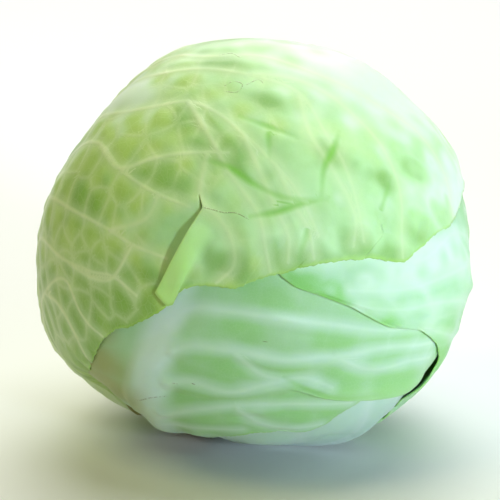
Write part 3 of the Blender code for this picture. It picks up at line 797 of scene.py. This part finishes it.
SCAR_WIDTHS = (0.16, 0.28, 0.16)
crease_lines, scar_lines = {}, {}
for leaf in leaves:
    crease_lines[leaf.name] = lines_from(leaf, creases_seen.get(leaf.name, ()))
    scar_lines[leaf.name] = lines_from(leaf, [(path, SCAR_WIDTHS) for path in scars_seen.get(leaf.name, ())])

# %% [markdown]
# ## Greener patches and calmer places
#
# A leaf is not one even green. It is greener in patches, mostly near its edge and between its ribs, where more
# light reached it. A few broad deep green spots low on the head's left are painted shade. Its veins show well
# where it grew in the open, and hardly at all where it was stretched smooth over the leaves below it. Some places
# have a white bloom of wax, painted whiter still on the top and the right side as a reflection of the bright
# surroundings, some have yellowed with age, and some margins hug the leaf under them. All of these are soft spots,
# as (azimuth, polar angle, radius in mm).

# %% Patches and calm places
# Most of these are greener patches of the leaf. The broad ones low on the crown leaf's left, from (-30, 66) to
# (-68, 52), and (4, 49) and (2, 40) on the front leaf, are painted shade.
greener_and_shade_spots = {
    "leaf_over_crown": (
        (-27, 112, 7), (-14, 107, 8), (26, 115, 4), (36, 121, 5), (23, 98, 5), (9, 89, 6), (15, 91.5, 6),
        (-3, 83, 6), (40, 107, 7), (50, 113, 6), (34, 99, 6), (10, 116, 5), (-27, 97, 8), (-30, 66, 14),
        (-45, 54, 20), (-68, 52, 26), (-36, 48, 14), (-45, 84, 8), (-20, 73, 4), (-32, 131, 7), (-11, 124, 4),
        (-72, 96, 10), (-24, 59, 7),
    ),
    "leaf_right_side": (
        (14.5, 86.3, 6), (22, 86.0, 5), (37, 85.6, 5), (55, 97, 9), (63, 87, 7), (44, 91, 6), (72, 80, 7),
        (85, 96, 12), (76, 72, 6), (90, 120, 16), (66, 80, 9),
    ),
    "leaf_front": (
        (9, 79, 7), (6, 69, 6), (28, 75.5, 7), (44, 81, 8), (21, 64, 6), (50, 73, 8), (29, 55, 7), (7, 54, 7),
        (7, 60, 8), (36, 67, 6), (40, 58, 5), (0, 83, 8), (4, 49, 12), (2, 40, 12), (-2, 60, 5),
    ),
    "leaf_back": ((-140, 80, 16), (-170, 100, 18), (165, 90, 16), (-150, 50, 14), (150, 60, 14)),
}
calm_spots = {
    "leaf_over_crown": (
        (18, 104, 44), (12, 140, 44), (50, 118, 44), (-38, 140, 24), (-12, 86, 16), (-56, 114, 14),
    ),
    "leaf_right_side": ((48, 92, 60),),
    "leaf_front": ((0, 60, 110),),
    "leaf_lower_right": ((70, 50, 110),),
}
aged_spots = {"leaf_front": ((-47, 34, 17), (-43, 44, 13), (-42, 54, 10), (-40, 61, 7))}
hug_spots = {"leaf_right_side": ((82, 69, 12), (92, 64, 12), (99, 52, 12)), "leaf_over_crown": ((-62, 30, 16),)}
# Whiter spots on the top and the right side: the wax bloom there is painted whiter as a reflection of the bright
# surroundings.
bloom_and_sheen_spots = {"leaf_over_crown": ((66, 116, 30), (74, 100, 20), (24, 146, 26), (-54, 113, 12)),
               "leaf_right_side": ((46, 100, 20),)}
SPOT_STRETCH = 1.7


def spots(leaf, rays, places, wander=0.5):
    """Soft spots of uneven outline, drawn out along the azimuth as the ribs are."""
    uneven = 1.0 + wander * slow_waves(2.6 * lay_flat(leaf, rays))
    total = np.zeros(len(rays))
    for azimuth, polar, radius in places:
        middle, aside = direction(azimuth, polar), direction(azimuth + 90.0, 90.0)
        away = np.arccos(np.clip(rays @ middle, -1.0, 1.0))
        along = np.minimum(np.abs(rays @ aside), away)
        away = np.sqrt(away ** 2 - (1.0 - SPOT_STRETCH ** -2) * along ** 2) * FLAT_SCALE * uneven
        total = np.maximum(total, smoothstep(1.3 - away / (1.35 * radius)))
    return total

# %% [markdown]
# ## The relief of a leaf
#
# A thick side vein stands up by half a millimetre on a soft ridge. Each mesh of the net swells out by about as
# much, and not all by the same. Where a leaf is calm only its ribs swell and sink, over a longer way. Long soft
# waves run over the whole leaf as well. The free edge of a torn flap curls away from the head.

# %% Relief
VEIN_HEIGHT = 0.00026
SWELL_HEIGHT = 0.00062
SWELL_REACH = 6.0
CALM_HEIGHT = 0.0009
CALM_REACH = 10.0
SLOW_HEIGHT = 0.0007
CREASE_REACH = 3.4
FLAP_CURL = 0.0016
FLAP_CURL_FROM = 0.80
FLAP_CURL_LENGTH = 0.030
SLOW_WAVES = ((3.1, 1.7, 0.9), (-2.2, 3.7, 2.1), (4.3, -1.3, 0.2), (-1.1, -5.2, 1.3))
NO_LINE = (50.0, 50.0, 1.0)


def flap_edge(leaf, rays, lifts):
    """1 on the free edge of a torn flap, 0 away from it and towards the tip of the tear."""
    edge = smoothstep((lifts / TEAR_LIFT - FLAP_CURL_FROM) / (1.0 - FLAP_CURL_FROM))
    for turn, reach in leaf.tips:
        tip = leaf.rays(np.array([turn]), np.array([reach]))[0]
        edge *= smoothstep(np.arccos(np.clip(rays @ tip, -1.0, 1.0)) * FREE_RADIUS / FLAP_CURL_LENGTH)
    return edge


def measure(leaf, rays, lifts):
    veins, net = leaf_lines[leaf.name]
    found = {"vein": veins.measure(rays), "net": net.measure(rays)}
    for name, drawn in (("crease", crease_lines[leaf.name]), ("scar", scar_lines[leaf.name])):
        found[name] = drawn.measure(rays) if drawn else np.tile(NO_LINE, (len(rays), 1))
    calm = spots(leaf, rays, calm_spots.get(leaf.name, ()))
    # Greener spots, some of them painted shade, count up. Bloom spots, whitened by a painted reflection, count
    # down.
    green = spots(leaf, rays, greener_and_shade_spots.get(leaf.name, ())) - spots(leaf, rays, bloom_and_sheen_spots.get(leaf.name, ()))
    aged = spots(leaf, rays, aged_spots.get(leaf.name, ()), 0.08)
    # The third number is yellowing with age above zero. Below zero it is the free edge of a torn flap, where
    # painted light shines through.
    found["look"] = np.column_stack([green, calm, aged - flap_edge(leaf, rays, lifts)])
    return found


def slow_waves(flat):
    x, y = flat[:, 0] / 30, flat[:, 1] / 30
    return sum(np.sin(a * x + b * y + phase) for a, b, phase in SLOW_WAVES) / len(SLOW_WAVES)


def relief_of(leaf, found):
    vein, net, crease, calm = found["vein"], found["net"], found["crease"], found["look"][:, 1]

    def ridges(rays):
        soft = smoothstep(1.0 - vein[:, 1] / (1.6 + 1.6 * vein[:, 2]))
        return VEIN_HEIGHT * vein[:, 2] ** 2 * soft * (1.0 - 0.5 * calm)

    def swell(rays, lifts):
        slow = slow_waves(lay_flat(leaf, rays))
        small = SWELL_HEIGHT * smoothstep(np.minimum(vein[:, 1], net[:, 1]) / SWELL_REACH) * (1.0 - calm)
        broad = CALM_HEIGHT * smoothstep(vein[:, 1] / CALM_REACH) * calm
        groove = smoothstep(crease[:, 1] / CREASE_REACH)
        sheet = ((small + broad) * (0.8 + 0.4 * slow) + SLOW_HEIGHT * (0.5 + 0.5 * slow)) * (0.65 + 0.35 * groove)
        return sheet + FLAP_CURL * flap_edge(leaf, rays, lifts)

    def hug(rays):
        return spots(leaf, rays, hug_spots.get(leaf.name, ()))

    return swell, ridges, hug


# %% [markdown]
# ## Where a leaf is pale
#
# Cabbage leaves are palest at their base and along the midrib, where there is little green in them. The edge of
# an outer leaf is thin and yellowish green. Both go into the mesh as plain numbers, for the material to use.

# %% Tones
PALE_BASE = 14.0
PALE_REACH = 18.0


def tones(leaf, rays, inward):
    polar = np.degrees(np.arccos(np.clip(-rays[:, 2], -1, 1)))
    base = smoothstep(1.0 - (polar - PALE_BASE) / PALE_REACH)
    samples, widths, _ = leaf.ribs[0]
    angle, closest = nearest(rays, samples)
    midrib = smoothstep(1.2 - angle * FREE_RADIUS / widths[closest])
    return np.stack([base, midrib, inward * 1000], axis=-1)


# %% [markdown]
# ## From numbers to a mesh
#
# The inner and the outer face share their triangles, and a wall closes every open edge, so that each leaf is a
# thin closed body as the real one is. The outermost leaf gets the finest mesh.

# %% Build the leaves
RINGS = {"leaf_over_crown": 120, "leaf_front": 108, "leaf_right_side": 108, "leaf_lower_right": 78,
         "leaf_back": 84}


def closed_sheet(name, inner, outer, triangles):
    count = len(inner)
    edges = np.vstack([triangles[:, [0, 1]], triangles[:, [1, 2]], triangles[:, [2, 0]]])
    known = set(map(tuple, edges.tolist()))
    open_edges = [(a, b) for a, b in sorted(known) if (b, a) not in known]
    faces = np.vstack([triangles, triangles[:, [0, 2, 1]] + count]).tolist()
    for a, b in open_edges:
        faces += [(b, a, a + count), (b, a + count, b + count)]
    mesh = bpy.data.meshes.new(name)
    mesh.from_pydata(np.vstack([outer, inner]).tolist(), [], faces)
    mesh.shade_smooth()
    return mesh


def add_vectors(mesh, name, values):
    layer = mesh.attributes.new(name, "FLOAT_VECTOR", "POINT")
    layer.data.foreach_set("vector", np.vstack([values, values]).astype(np.float32).ravel())


def add_piece(name, mesh, node):
    piece = bpy.data.objects.new(name, mesh)
    bpy.context.scene.collection.objects.link(piece)
    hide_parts(node)
    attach(piece, "root")
    return piece


pieces = {}
for i, leaf in enumerate(leaves):
    rings = RINGS[leaf.name]
    rays, _, lifts, _, _ = leaf.spread_out(rings)
    found = measure(leaf, rays, lifts)
    laid = leaf.lay(rings, leaves[:i], leaves[i + 1:], *relief_of(leaf, found))
    rays, inner, outer, inward, show, triangles = laid
    a, b, c = (outer[triangles[:, k]] for k in range(3))
    if np.sum(np.cross(b - a, c - a) * a) < 0.0:
        triangles = triangles[:, ::-1]
    mesh = closed_sheet(leaf.name + "_veined", to_table(inner), to_table(outer), triangles)
    found["tone"] = tones(leaf, rays, inward)
    found["flat"] = np.column_stack([lay_flat(leaf, rays), show])
    for name, values in found.items():
        add_vectors(mesh, name, values)
    pieces[leaf.name] = add_piece(leaf.name + "_veined", mesh, leaf.name)
    print(leaf.name, "has", len(mesh.polygons), "triangles")

# %% [markdown]
# ## Materials, and one helper
#
# Every shader node is made by the same small function: it sets the node's options, then fills each input with a
# number or links another node's output to it. Colours are written as they look on a screen and turned linear.

# %% Colours and nodes
def linear(hex_colour):
    parts = [int(hex_colour[k:k + 2], 16) / 255 for k in (0, 2, 4)]
    return tuple(part / 12.92 if part <= 0.04045 else ((part + 0.055) / 1.055) ** 2.4 for part in parts) + (1.0,)


def add(tree, kind, inputs, out=0, **settings):
    made = tree.nodes.new(kind)
    for name, value in settings.items():
        setattr(made, name, value)
    for name, value in inputs.items():
        if isinstance(value, bpy.types.NodeSocket):
            tree.links.new(value, made.inputs[name])
        else:
            made.inputs[name].default_value = value
    return made.outputs[out] if made.outputs else made


def new_material(name):
    material = bpy.data.materials.new(name)
    material.use_nodes = True
    material.node_tree.nodes.clear()
    return material, material.node_tree


# %% [markdown]
# ## The material of a leaf
#
# A cabbage leaf is a thin translucent sheet under a coat of wax. Light goes in, scatters over a millimetre or
# two and comes out greener, so the leaf gets subsurface scattering. Plant cuticle wax has an index of refraction
# near 1.45, and its powdery bloom makes it half matt, with a roughness about 0.45.
#
# The veins are drawn from the distances in the mesh. Two finer nets, of 4.5 mm and 1.8 mm, fill the meshes of
# the main one. The real finest net is about 1 mm across, and is drawn coarser here so that it shows at all.

# %% Leaf material
WAX_IOR = 1.45
SCATTER_DEPTH = 0.0016
# The first colour is the white wax bloom with a painted reflection on it.
BLOOM_AND_SHEEN, AGED, PAINTED_FLAP_GLOW, CUT_BROWN, SCAR_BROWN = (
    # The third colour is painted light, shining through the thin free edge of a torn flap.
    linear(colour) for colour in ("e2f0e2", "9aa050", "c6f898", "8b7442", "6e6a3c"))


def ramp(tree, value, start=0.0, end=1.0, low=0.0, high=1.0, smooth=False):
    """From low to high while the value goes from start to end."""
    sockets = {"Value": value, "From Min": start, "From Max": end, "To Min": low, "To Max": high}
    return add(tree, "ShaderNodeMapRange", sockets, interpolation_type="SMOOTHSTEP" if smooth else "LINEAR")


def mix(tree, factor, below, above):
    made = tree.nodes.new("ShaderNodeMix")
    made.data_type = "RGBA"
    for socket, value in zip((made.inputs[0], made.inputs[6], made.inputs[7]), (factor, below, above)):
        if isinstance(value, bpy.types.NodeSocket):
            tree.links.new(value, socket)
        else:
            socket.default_value = value
    return made.outputs[2]


def times(tree, a, b):
    return add(tree, "ShaderNodeMath", {0: a, 1: b}, operation="MULTIPLY")


def noise(tree, place, scale, detail, out="Fac"):
    return add(tree, "ShaderNodeTexNoise", {"Vector": place, "Scale": scale, "Detail": detail}, out)


def stored_parts(tree, name):
    """The three numbers that the mesh holds at each point under this name."""
    parts = tree.nodes.new("ShaderNodeSeparateXYZ")
    tree.links.new(add(tree, "ShaderNodeAttribute", {}, "Vector", attribute_name=name), parts.inputs[0])
    return parts.outputs


def line_mask(tree, name, widen, soft, full=0.01):
    """1 on the line, 0 away from it, and the distance to it. A line fades where its width is below full."""
    side, near, width = stored_parts(tree, name)
    half = add(tree, "ShaderNodeMath", {0: width, 1: widen, 2: soft}, operation="MULTIPLY_ADD")
    across = add(tree, "ShaderNodeMath", {0: side}, operation="ABSOLUTE")
    core = ramp(tree, across, 0.0, half, 1.0, 0.0, smooth=True)
    reach = add(tree, "ShaderNodeMath", {0: half, 1: 0.7}, operation="ADD")
    close = ramp(tree, near, half, reach, 1.0, 0.0, smooth=True)
    return times(tree, times(tree, core, close), ramp(tree, width, 0.0, full)), near


def cell_net(tree, place, size, thin, thick):
    """1 on the borders of cells of that size in mm, 0 inside them."""
    distance = add(tree, "ShaderNodeTexVoronoi", {"Vector": place, "Scale": 1.0 / size}, "Distance",
                   voronoi_dimensions="2D", feature="DISTANCE_TO_EDGE")
    return ramp(tree, distance, thin / size, thick / size, 1.0, 0.0, smooth=True)


def surface(tree, inputs):
    """The last shader of a material, joined to its output."""
    shader = add(tree, "ShaderNodeBsdfPrincipled", inputs)
    add(tree, "ShaderNodeOutputMaterial", {"Surface": shader})


def leaf_material(name, colours, strength=1.0, halo_strength=0.38, sheen=0.15, flap_glow=0.1, crease_shade="74bb30"):
    """Colours: cell, calm cell, deep, pale, vein and edge; strength: how well the veins show."""
    cell, calm_cell, deep, pale, vein, edge = (linear(colour) for colour in colours.split())
    material, tree = new_material(name)
    flat = add(tree, "ShaderNodeAttribute", {}, "Vector", attribute_name="flat")
    sway = noise(tree, flat, 0.14, 3.0, "Color")
    shift = add(tree, "ShaderNodeVectorMath", {0: sway, 1: (-0.5, -0.5, -0.5)}, operation="ADD")
    place = add(tree, "ShaderNodeVectorMath", {0: shift, 1: (3.2, 3.2, 0.0), 2: flat}, operation="MULTIPLY_ADD")
    patches, specks = noise(tree, flat, 0.045, 4.0), noise(tree, flat, 1.3, 3.0)

    # Below zero, green is the white bloom of wax with a painted reflection on it, and aged is the thin free edge
    # of a torn flap, painted with light shining through it. Above zero, green is partly painted shade.
    green, calm, aged = stored_parts(tree, "look")
    base, midrib, inward = stored_parts(tree, "tone")
    showing = ramp(tree, calm, 0.0, 1.0, strength, 0.32 * strength)
    net_showing = ramp(tree, calm, 0.0, 1.0, strength, 0.08 * strength)
    veins, vein_near = line_mask(tree, "vein", 1.1, 0.6)
    net, net_near = line_mask(tree, "net", 1.0, 0.9)
    creases, _ = line_mask(tree, "crease", 1.0, 1.5, 1.4)
    scars, _ = line_mask(tree, "scar", 1.0, 0.1)
    veins, net = times(tree, veins, showing), times(tree, net, net_showing)
    halo = ramp(tree, vein_near, 0.3, 6.0, 1.0, 0.0, smooth=True)
    net_halo = ramp(tree, net_near, 0.3, 4.5, 1.0, 0.0, smooth=True)
    middle_net = times(tree, cell_net(tree, place, 4.5, 0.05, 0.42), net_showing)
    fine_net = cell_net(tree, place, 1.8, 0.02, 0.22)
    paleness = add(tree, "ShaderNodeMath", {0: base, 1: midrib}, operation="MAXIMUM")
    margin = ramp(tree, inward, 0.2, 1.6, 1.0, 0.0, smooth=True)
    cut = times(tree, margin, ramp(tree, base, 0.93, 1.0))
    crumbs = times(tree, scars, ramp(tree, specks, 0.42, 0.5))

    # Each line lays one colour over what is there, by the share that the first value gives.
    tint = mix(tree, calm, cell, calm_cell)
    for share, colour in (
        (ramp(tree, patches, 0.40, 0.75, 0.0, 0.35), deep),
        # Deep green from the stored spots, which are partly painted shade on the head's lower left.
        (ramp(tree, green, 0.0, 1.0, 0.0, 0.68), deep),
        # White wax bloom, painted whiter as a reflection on the top and the right side.
        (ramp(tree, green, 0.0, -1.0, 0.0, 0.65), BLOOM_AND_SHEEN),
        (times(tree, halo, halo_strength), pale),
        (times(tree, times(tree, net_halo, net_showing), 0.22), pale),
        (times(tree, fine_net, 0.04), vein),
        (times(tree, middle_net, 0.08), vein),
        (times(tree, net, 0.22), vein),
        (times(tree, veins, 0.55), vein),
        (times(tree, paleness, 0.85), pale),
        # Painted shade: the creases are coloured a darker green where shade falls in the groove.
        (times(tree, creases, 0.75), linear(crease_shade)),
        (ramp(tree, aged, 0.0, 1.0, 0.0, 0.85), AGED),
        # Painted light: the thin free edge of a torn flap glows lime, where light shines through it.
        (ramp(tree, aged, 0.0, -1.0, 0.0, flap_glow), PAINTED_FLAP_GLOW),
        (times(tree, margin, 0.45), edge),
        (times(tree, cut, 0.8), CUT_BROWN),
        (times(tree, crumbs, 0.8), SCAR_BROWN),
        (ramp(tree, specks, 0.55, 0.8, 0.0, 0.06), pale),
    ):
        tint = mix(tree, share, tint, colour)

    height = times(tree, veins, 0.00010)
    for mask, rise in ((net, 0.00006), (middle_net, 0.00002), (fine_net, 0.000008), (creases, -0.00010),
                       (specks, 0.00002), (scars, 0.00015)):
        height = add(tree, "ShaderNodeMath", {0: mask, 1: rise, 2: height}, operation="MULTIPLY_ADD")
    bump = add(tree, "ShaderNodeBump", {"Height": height, "Strength": 1.0, "Distance": 1.0})
    surface(tree, {
        "Base Color": tint, "Roughness": ramp(tree, patches, 0.3, 0.7, 0.42, 0.52), "IOR": WAX_IOR, "Normal": bump,
        "Subsurface Weight": 0.35, "Subsurface Radius": (0.9, 1.0, 0.35), "Subsurface Scale": SCATTER_DEPTH,
        "Sheen Weight": sheen, "Sheen Roughness": 0.4,
    })
    return material


leaf_looks = {
    "leaf_over_crown": leaf_material("waxy_green_leaf", "b0d06c b6dea0 6fa336 d0e5b2 dde9ba a2cf55", sheen=0.4,
                                     flap_glow=0.75),
    "leaf_right_side": leaf_material("waxy_light_leaf", "a9d095 add6ab 72c23c cbe6cb daedd9 98cc60",
                                     halo_strength=0.5),
    "leaf_front": leaf_material("pale_front_leaf", "a4cf9c a4cf9c 8cc672 cfe6dc dbedda 98cc68", strength=1.2,
                                halo_strength=0.45),
    "leaf_lower_right": leaf_material("white_base_leaf", "bcd8c8 bcd8c8 a9cdaa d4e4dc dbe8df b0d598",
                                      strength=0.5, crease_shade="a9cbb4"),
    "leaf_back": leaf_material("back_leaf", "a8ca74 a8ca74 79ac42 cbe1a9 d5e5b2 a2cf5a", sheen=0.4),
}
for name, material in leaf_looks.items():
    pieces[name].data.materials.append(material)

# %% [markdown]
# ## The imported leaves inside
#
# Round the stem one can look a little way in, at the bases of the leaves inside. They are pressed flat on each
# other, pale, and ribbed towards the stem.

# %% The heart
HEART_DIVISIONS = 6
STEM_RADIUS = 0.0150
STEM_TOP = 0.060
STEM_CUT = 0.0905
FIT_GAP = 0.0003

shape = bmesh.new()
bmesh.ops.create_icosphere(shape, subdivisions=HEART_DIVISIONS, radius=1.0)
rays = np.array([vert.co[:] for vert in shape.verts])
reach = heart_radius(rays, leaves)
azimuth = np.arctan2(rays[:, 0], -rays[:, 1])
polar = np.degrees(np.arccos(np.clip(-rays[:, 2], -1, 1)))
near_stem = smoothstep(1.0 - (polar - 10) / 16)
furrows = 0.0005 * (np.sin(9 * azimuth) + 0.5 * np.sin(17 * azimuth + 1.0)) * near_stem
reach -= 0.0006 * near_stem - np.minimum(furrows, 0.0004)
socket = polar < math.degrees(math.asin((STEM_RADIUS + FIT_GAP) / STEM_CUT))
for vert, distance in zip(shape.verts, np.where(socket, np.minimum(reach, STEM_TOP), reach)):
    vert.co *= distance
mesh = bpy.data.meshes.new("packed_leaves")
onto_table = Matrix.Translation((0.0, 0.0, HEAD_HEIGHT)) @ LEAN.to_4x4()
bmesh.ops.transform(shape, matrix=onto_table, verts=shape.verts)
shape.to_mesh(mesh)
shape.free()
mesh.shade_smooth()
add_piece("packed_leaves", mesh, "packed_heart")

material, tree = new_material("inner_leaf")
local = add(tree, "ShaderNodeTexCoord", {}, "Object")
grain = noise(tree, local, 60.0, 5.0)
tint = mix(tree, ramp(tree, grain, 0.35, 0.65), linear("c3cf96"), linear("dfe6c2"))
bump = add(tree, "ShaderNodeBump", {"Height": times(tree, grain, 0.0003), "Strength": 1.0, "Distance": 1.0})
surface(tree, {"Base Color": tint, "Roughness": 0.5, "IOR": WAX_IOR, "Normal": bump})
mesh.materials.append(material)
print("heart:", len(mesh.polygons), "triangles")

# %% [markdown]
# ## The cut stem
#
# The stem is cut across with a knife in the field. The cut shows a greenish bark, a ring of woody strands and a
# pale pith, and it browns as it dries. The pith dries most and sinks a little.

# %% The stem
STEM_SEGMENTS = 96
profile = [(0.0, -STEM_TOP), (0.5, -STEM_TOP), (1.0, -STEM_TOP), (1.0, -0.070), (1.0, -0.080), (1.0, -0.086),
           (1.0, -STEM_CUT + 0.0009), (0.975, -STEM_CUT + 0.0003), (0.94, -STEM_CUT + 0.0001), (0.88, -STEM_CUT),
           (0.80, -STEM_CUT), (0.72, -STEM_CUT + 0.0001), (0.62, -STEM_CUT + 0.0005), (0.5, -STEM_CUT + 0.0009),
           (0.36, -STEM_CUT + 0.0012), (0.2, -STEM_CUT + 0.0014), (0.0, -STEM_CUT + 0.0015)]
turns = np.arange(STEM_SEGMENTS) * 2 * math.pi / STEM_SEGMENTS
points, faces = [], []
for share, height in profile:
    bark = 1.0 - 0.012 * (0.5 + 0.5 * np.sin(5 * turns + 0.4)) - 0.006 * (0.5 + 0.5 * np.sin(13 * turns))
    rough = 0.00018 * np.sin(11 * share * np.cos(turns) + 3.0) * (height < -0.088) * (share < 0.9)
    radius = share * STEM_RADIUS * bark
    points += list(np.stack([radius * np.sin(turns), -radius * np.cos(turns), height + np.abs(rough)], axis=-1))
for ring in range(len(profile) - 1):
    for k in range(STEM_SEGMENTS):
        a, b = ring * STEM_SEGMENTS + k, ring * STEM_SEGMENTS + (k + 1) % STEM_SEGMENTS
        faces.append((a, b, b + STEM_SEGMENTS, a + STEM_SEGMENTS))
mesh = bpy.data.meshes.new("cut_stem")
mesh.from_pydata(to_table(np.array(points)).tolist(), [], faces)
clean = bmesh.new()
clean.from_mesh(mesh)
bmesh.ops.remove_doubles(clean, verts=clean.verts, dist=1e-6)
bmesh.ops.recalc_face_normals(clean, faces=clean.faces)
clean.to_mesh(mesh)
clean.free()
mesh.shade_smooth()
across = mesh.attributes.new("across", "FLOAT_VECTOR", "POINT")
places = (np.array([vert.co[:] for vert in mesh.vertices]) - [0.0, 0.0, HEAD_HEIGHT]) @ LEAN_ROWS
out = np.hypot(places[:, 0], places[:, 1]) / STEM_RADIUS
across.data.foreach_set("vector", np.column_stack([places[:, :2] * 1000, out]).astype(np.float32).ravel())
add_piece("cut_stem", mesh, "stem")

material, tree = new_material("cut_stem")
stored = add(tree, "ShaderNodeAttribute", {}, "Vector", attribute_name="across")
out = stored_parts(tree, "across")[2]
fibre = add(tree, "ShaderNodeTexNoise", {"Vector": stored, "Scale": 0.9, "Detail": 6.0, "Roughness": 0.7}, "Fac")
stain = noise(tree, stored, 0.16, 3.0)
ring = ramp(tree, out, 0.60, 0.74, smooth=True)
bark = ramp(tree, out, 0.88, 0.95, smooth=True)
tint = mix(tree, fibre, linear("cdbf92"), linear("e3d9b4"))
tint = mix(tree, ring, tint, linear("b59a63"))
tint = mix(tree, bark, tint, linear("8f9a5c"))
tint = mix(tree, ramp(tree, stain, 0.45, 0.7, 0.0, 0.6), tint, linear("84633a"))
bump = add(tree, "ShaderNodeBump", {"Height": times(tree, fibre, 0.0006), "Strength": 1.0, "Distance": 1.0})
surface(tree, {"Base Color": tint, "Roughness": 0.75, "IOR": 1.5, "Normal": bump})
mesh.materials.append(material)
print("stem:", len(mesh.polygons), "faces")

# %% [markdown]
# ## The table, the light and the camera
#
# The head lies on a plain white surface. Cool daylight comes through a round opening at the front right, and the
# edge of that beam runs down the left of the head. A soft light hangs overhead, the left side gets a weak warm
# fill, and a light behind whitens the surface. The camera looks down by 15 degrees from 1.15 m away.

# %% Table and lights
FLOOR_SIZE = 6.0
mesh = bpy.data.meshes.new("table")
half = FLOOR_SIZE / 2
mesh.from_pydata([(-half, -half, 0), (half, -half, 0), (half, half, 0), (-half, half, 0)], [], [(0, 1, 2, 3)])
floor = bpy.data.objects.new("table", mesh)
bpy.context.scene.collection.objects.link(floor)
material, tree = new_material("table_white")
surface(tree, {"Base Color": (0.82, 0.82, 0.81, 1.0), "Roughness": 0.8})
mesh.materials.append(material)

centre = Vector((0.0, 0.0, HEAD_HEIGHT))


def add_light(name, towards, distance, size, power, colour):
    light = bpy.data.lights.new(name, "AREA")
    light.size = size
    light.energy = power
    light.color = colour
    lamp = bpy.data.objects.new(name, light)
    bpy.context.scene.collection.objects.link(lamp)
    lamp.location = centre + Vector(towards).normalized() * distance
    lamp.rotation_euler = (centre - lamp.location).to_track_quat("-Z", "Y").to_euler()


# Each light: name, direction from the head, distance and size in m, power in W, colour.
for light in (("soft_overhead", (0.15, 0.25, 1.0), 1.5, 1.4, 17.5, (0.95, 1.0, 0.98)),
              ("warm_upper_left", (-0.6, -0.35, 1.0), 1.5, 0.8, 6.6, (1.0, 0.95, 0.42)),
              ("backdrop", (0.0, 1.0, 0.75), 2.2, 1.6, 28.0, (1.0, 1.0, 1.0))):
    add_light(*light)

BEAM_FROM = Vector((0.46, -0.87, 0.18)).normalized()
BEAM_DISTANCE = 1.2
BEAM_RADIUS = 0.17
BEAM_LEFT = 0.074
BEAM_RISE = 0.02
beam = bpy.data.lights.new("window_beam", "SPOT")
beam.energy = 64.0
beam.color = (0.80, 1.0, 1.15)
beam.shadow_soft_size = 0.12
beam.spot_size = 2 * math.atan(BEAM_RADIUS / BEAM_DISTANCE)
beam.spot_blend = 0.06
lamp = bpy.data.objects.new("window_beam", beam)
bpy.context.scene.collection.objects.link(lamp)
beam_middle = centre + Vector((-BEAM_FROM.y, BEAM_FROM.x, 0.0)).normalized() * (BEAM_RADIUS - BEAM_LEFT)
beam_middle.z += BEAM_RISE
lamp.location = beam_middle + BEAM_FROM * BEAM_DISTANCE
lamp.rotation_euler = (-BEAM_FROM).to_track_quat("-Z", "Y").to_euler()

world = bpy.data.worlds.new("studio")
world.use_nodes = True
world.node_tree.nodes["Background"].inputs["Color"].default_value = (1.0, 0.97, 0.85, 1.0)
world.node_tree.nodes["Background"].inputs["Strength"].default_value = 0.07
bpy.context.scene.world = world
bpy.context.scene.view_settings.view_transform = "Standard"

# %% Camera
ELEVATION = math.radians(15.0)
CAMERA_DISTANCE = 1.15
FRAME_WIDTH = 0.230
HEAD_RIGHT = 0.00115
HEAD_UP = 0.00345
to_camera = Vector((0.0, -math.cos(ELEVATION), math.sin(ELEVATION)))
upwards = Vector((0.0, math.sin(ELEVATION), math.cos(ELEVATION)))
lens = bpy.data.cameras.new("camera")
lens.sensor_width = 36.0
lens.lens = 36.0 * CAMERA_DISTANCE / FRAME_WIDTH
camera = bpy.data.objects.new("camera", lens)
bpy.context.scene.collection.objects.link(camera)
aim = centre - Vector((1.0, 0.0, 0.0)) * HEAD_RIGHT - upwards * HEAD_UP
camera.location = aim + to_camera * CAMERA_DISTANCE
camera.rotation_euler = (-to_camera).to_track_quat("-Z", "Y").to_euler()
bpy.context.scene.camera = camera
print("camera at", [round(value, 3) for value in camera.location])
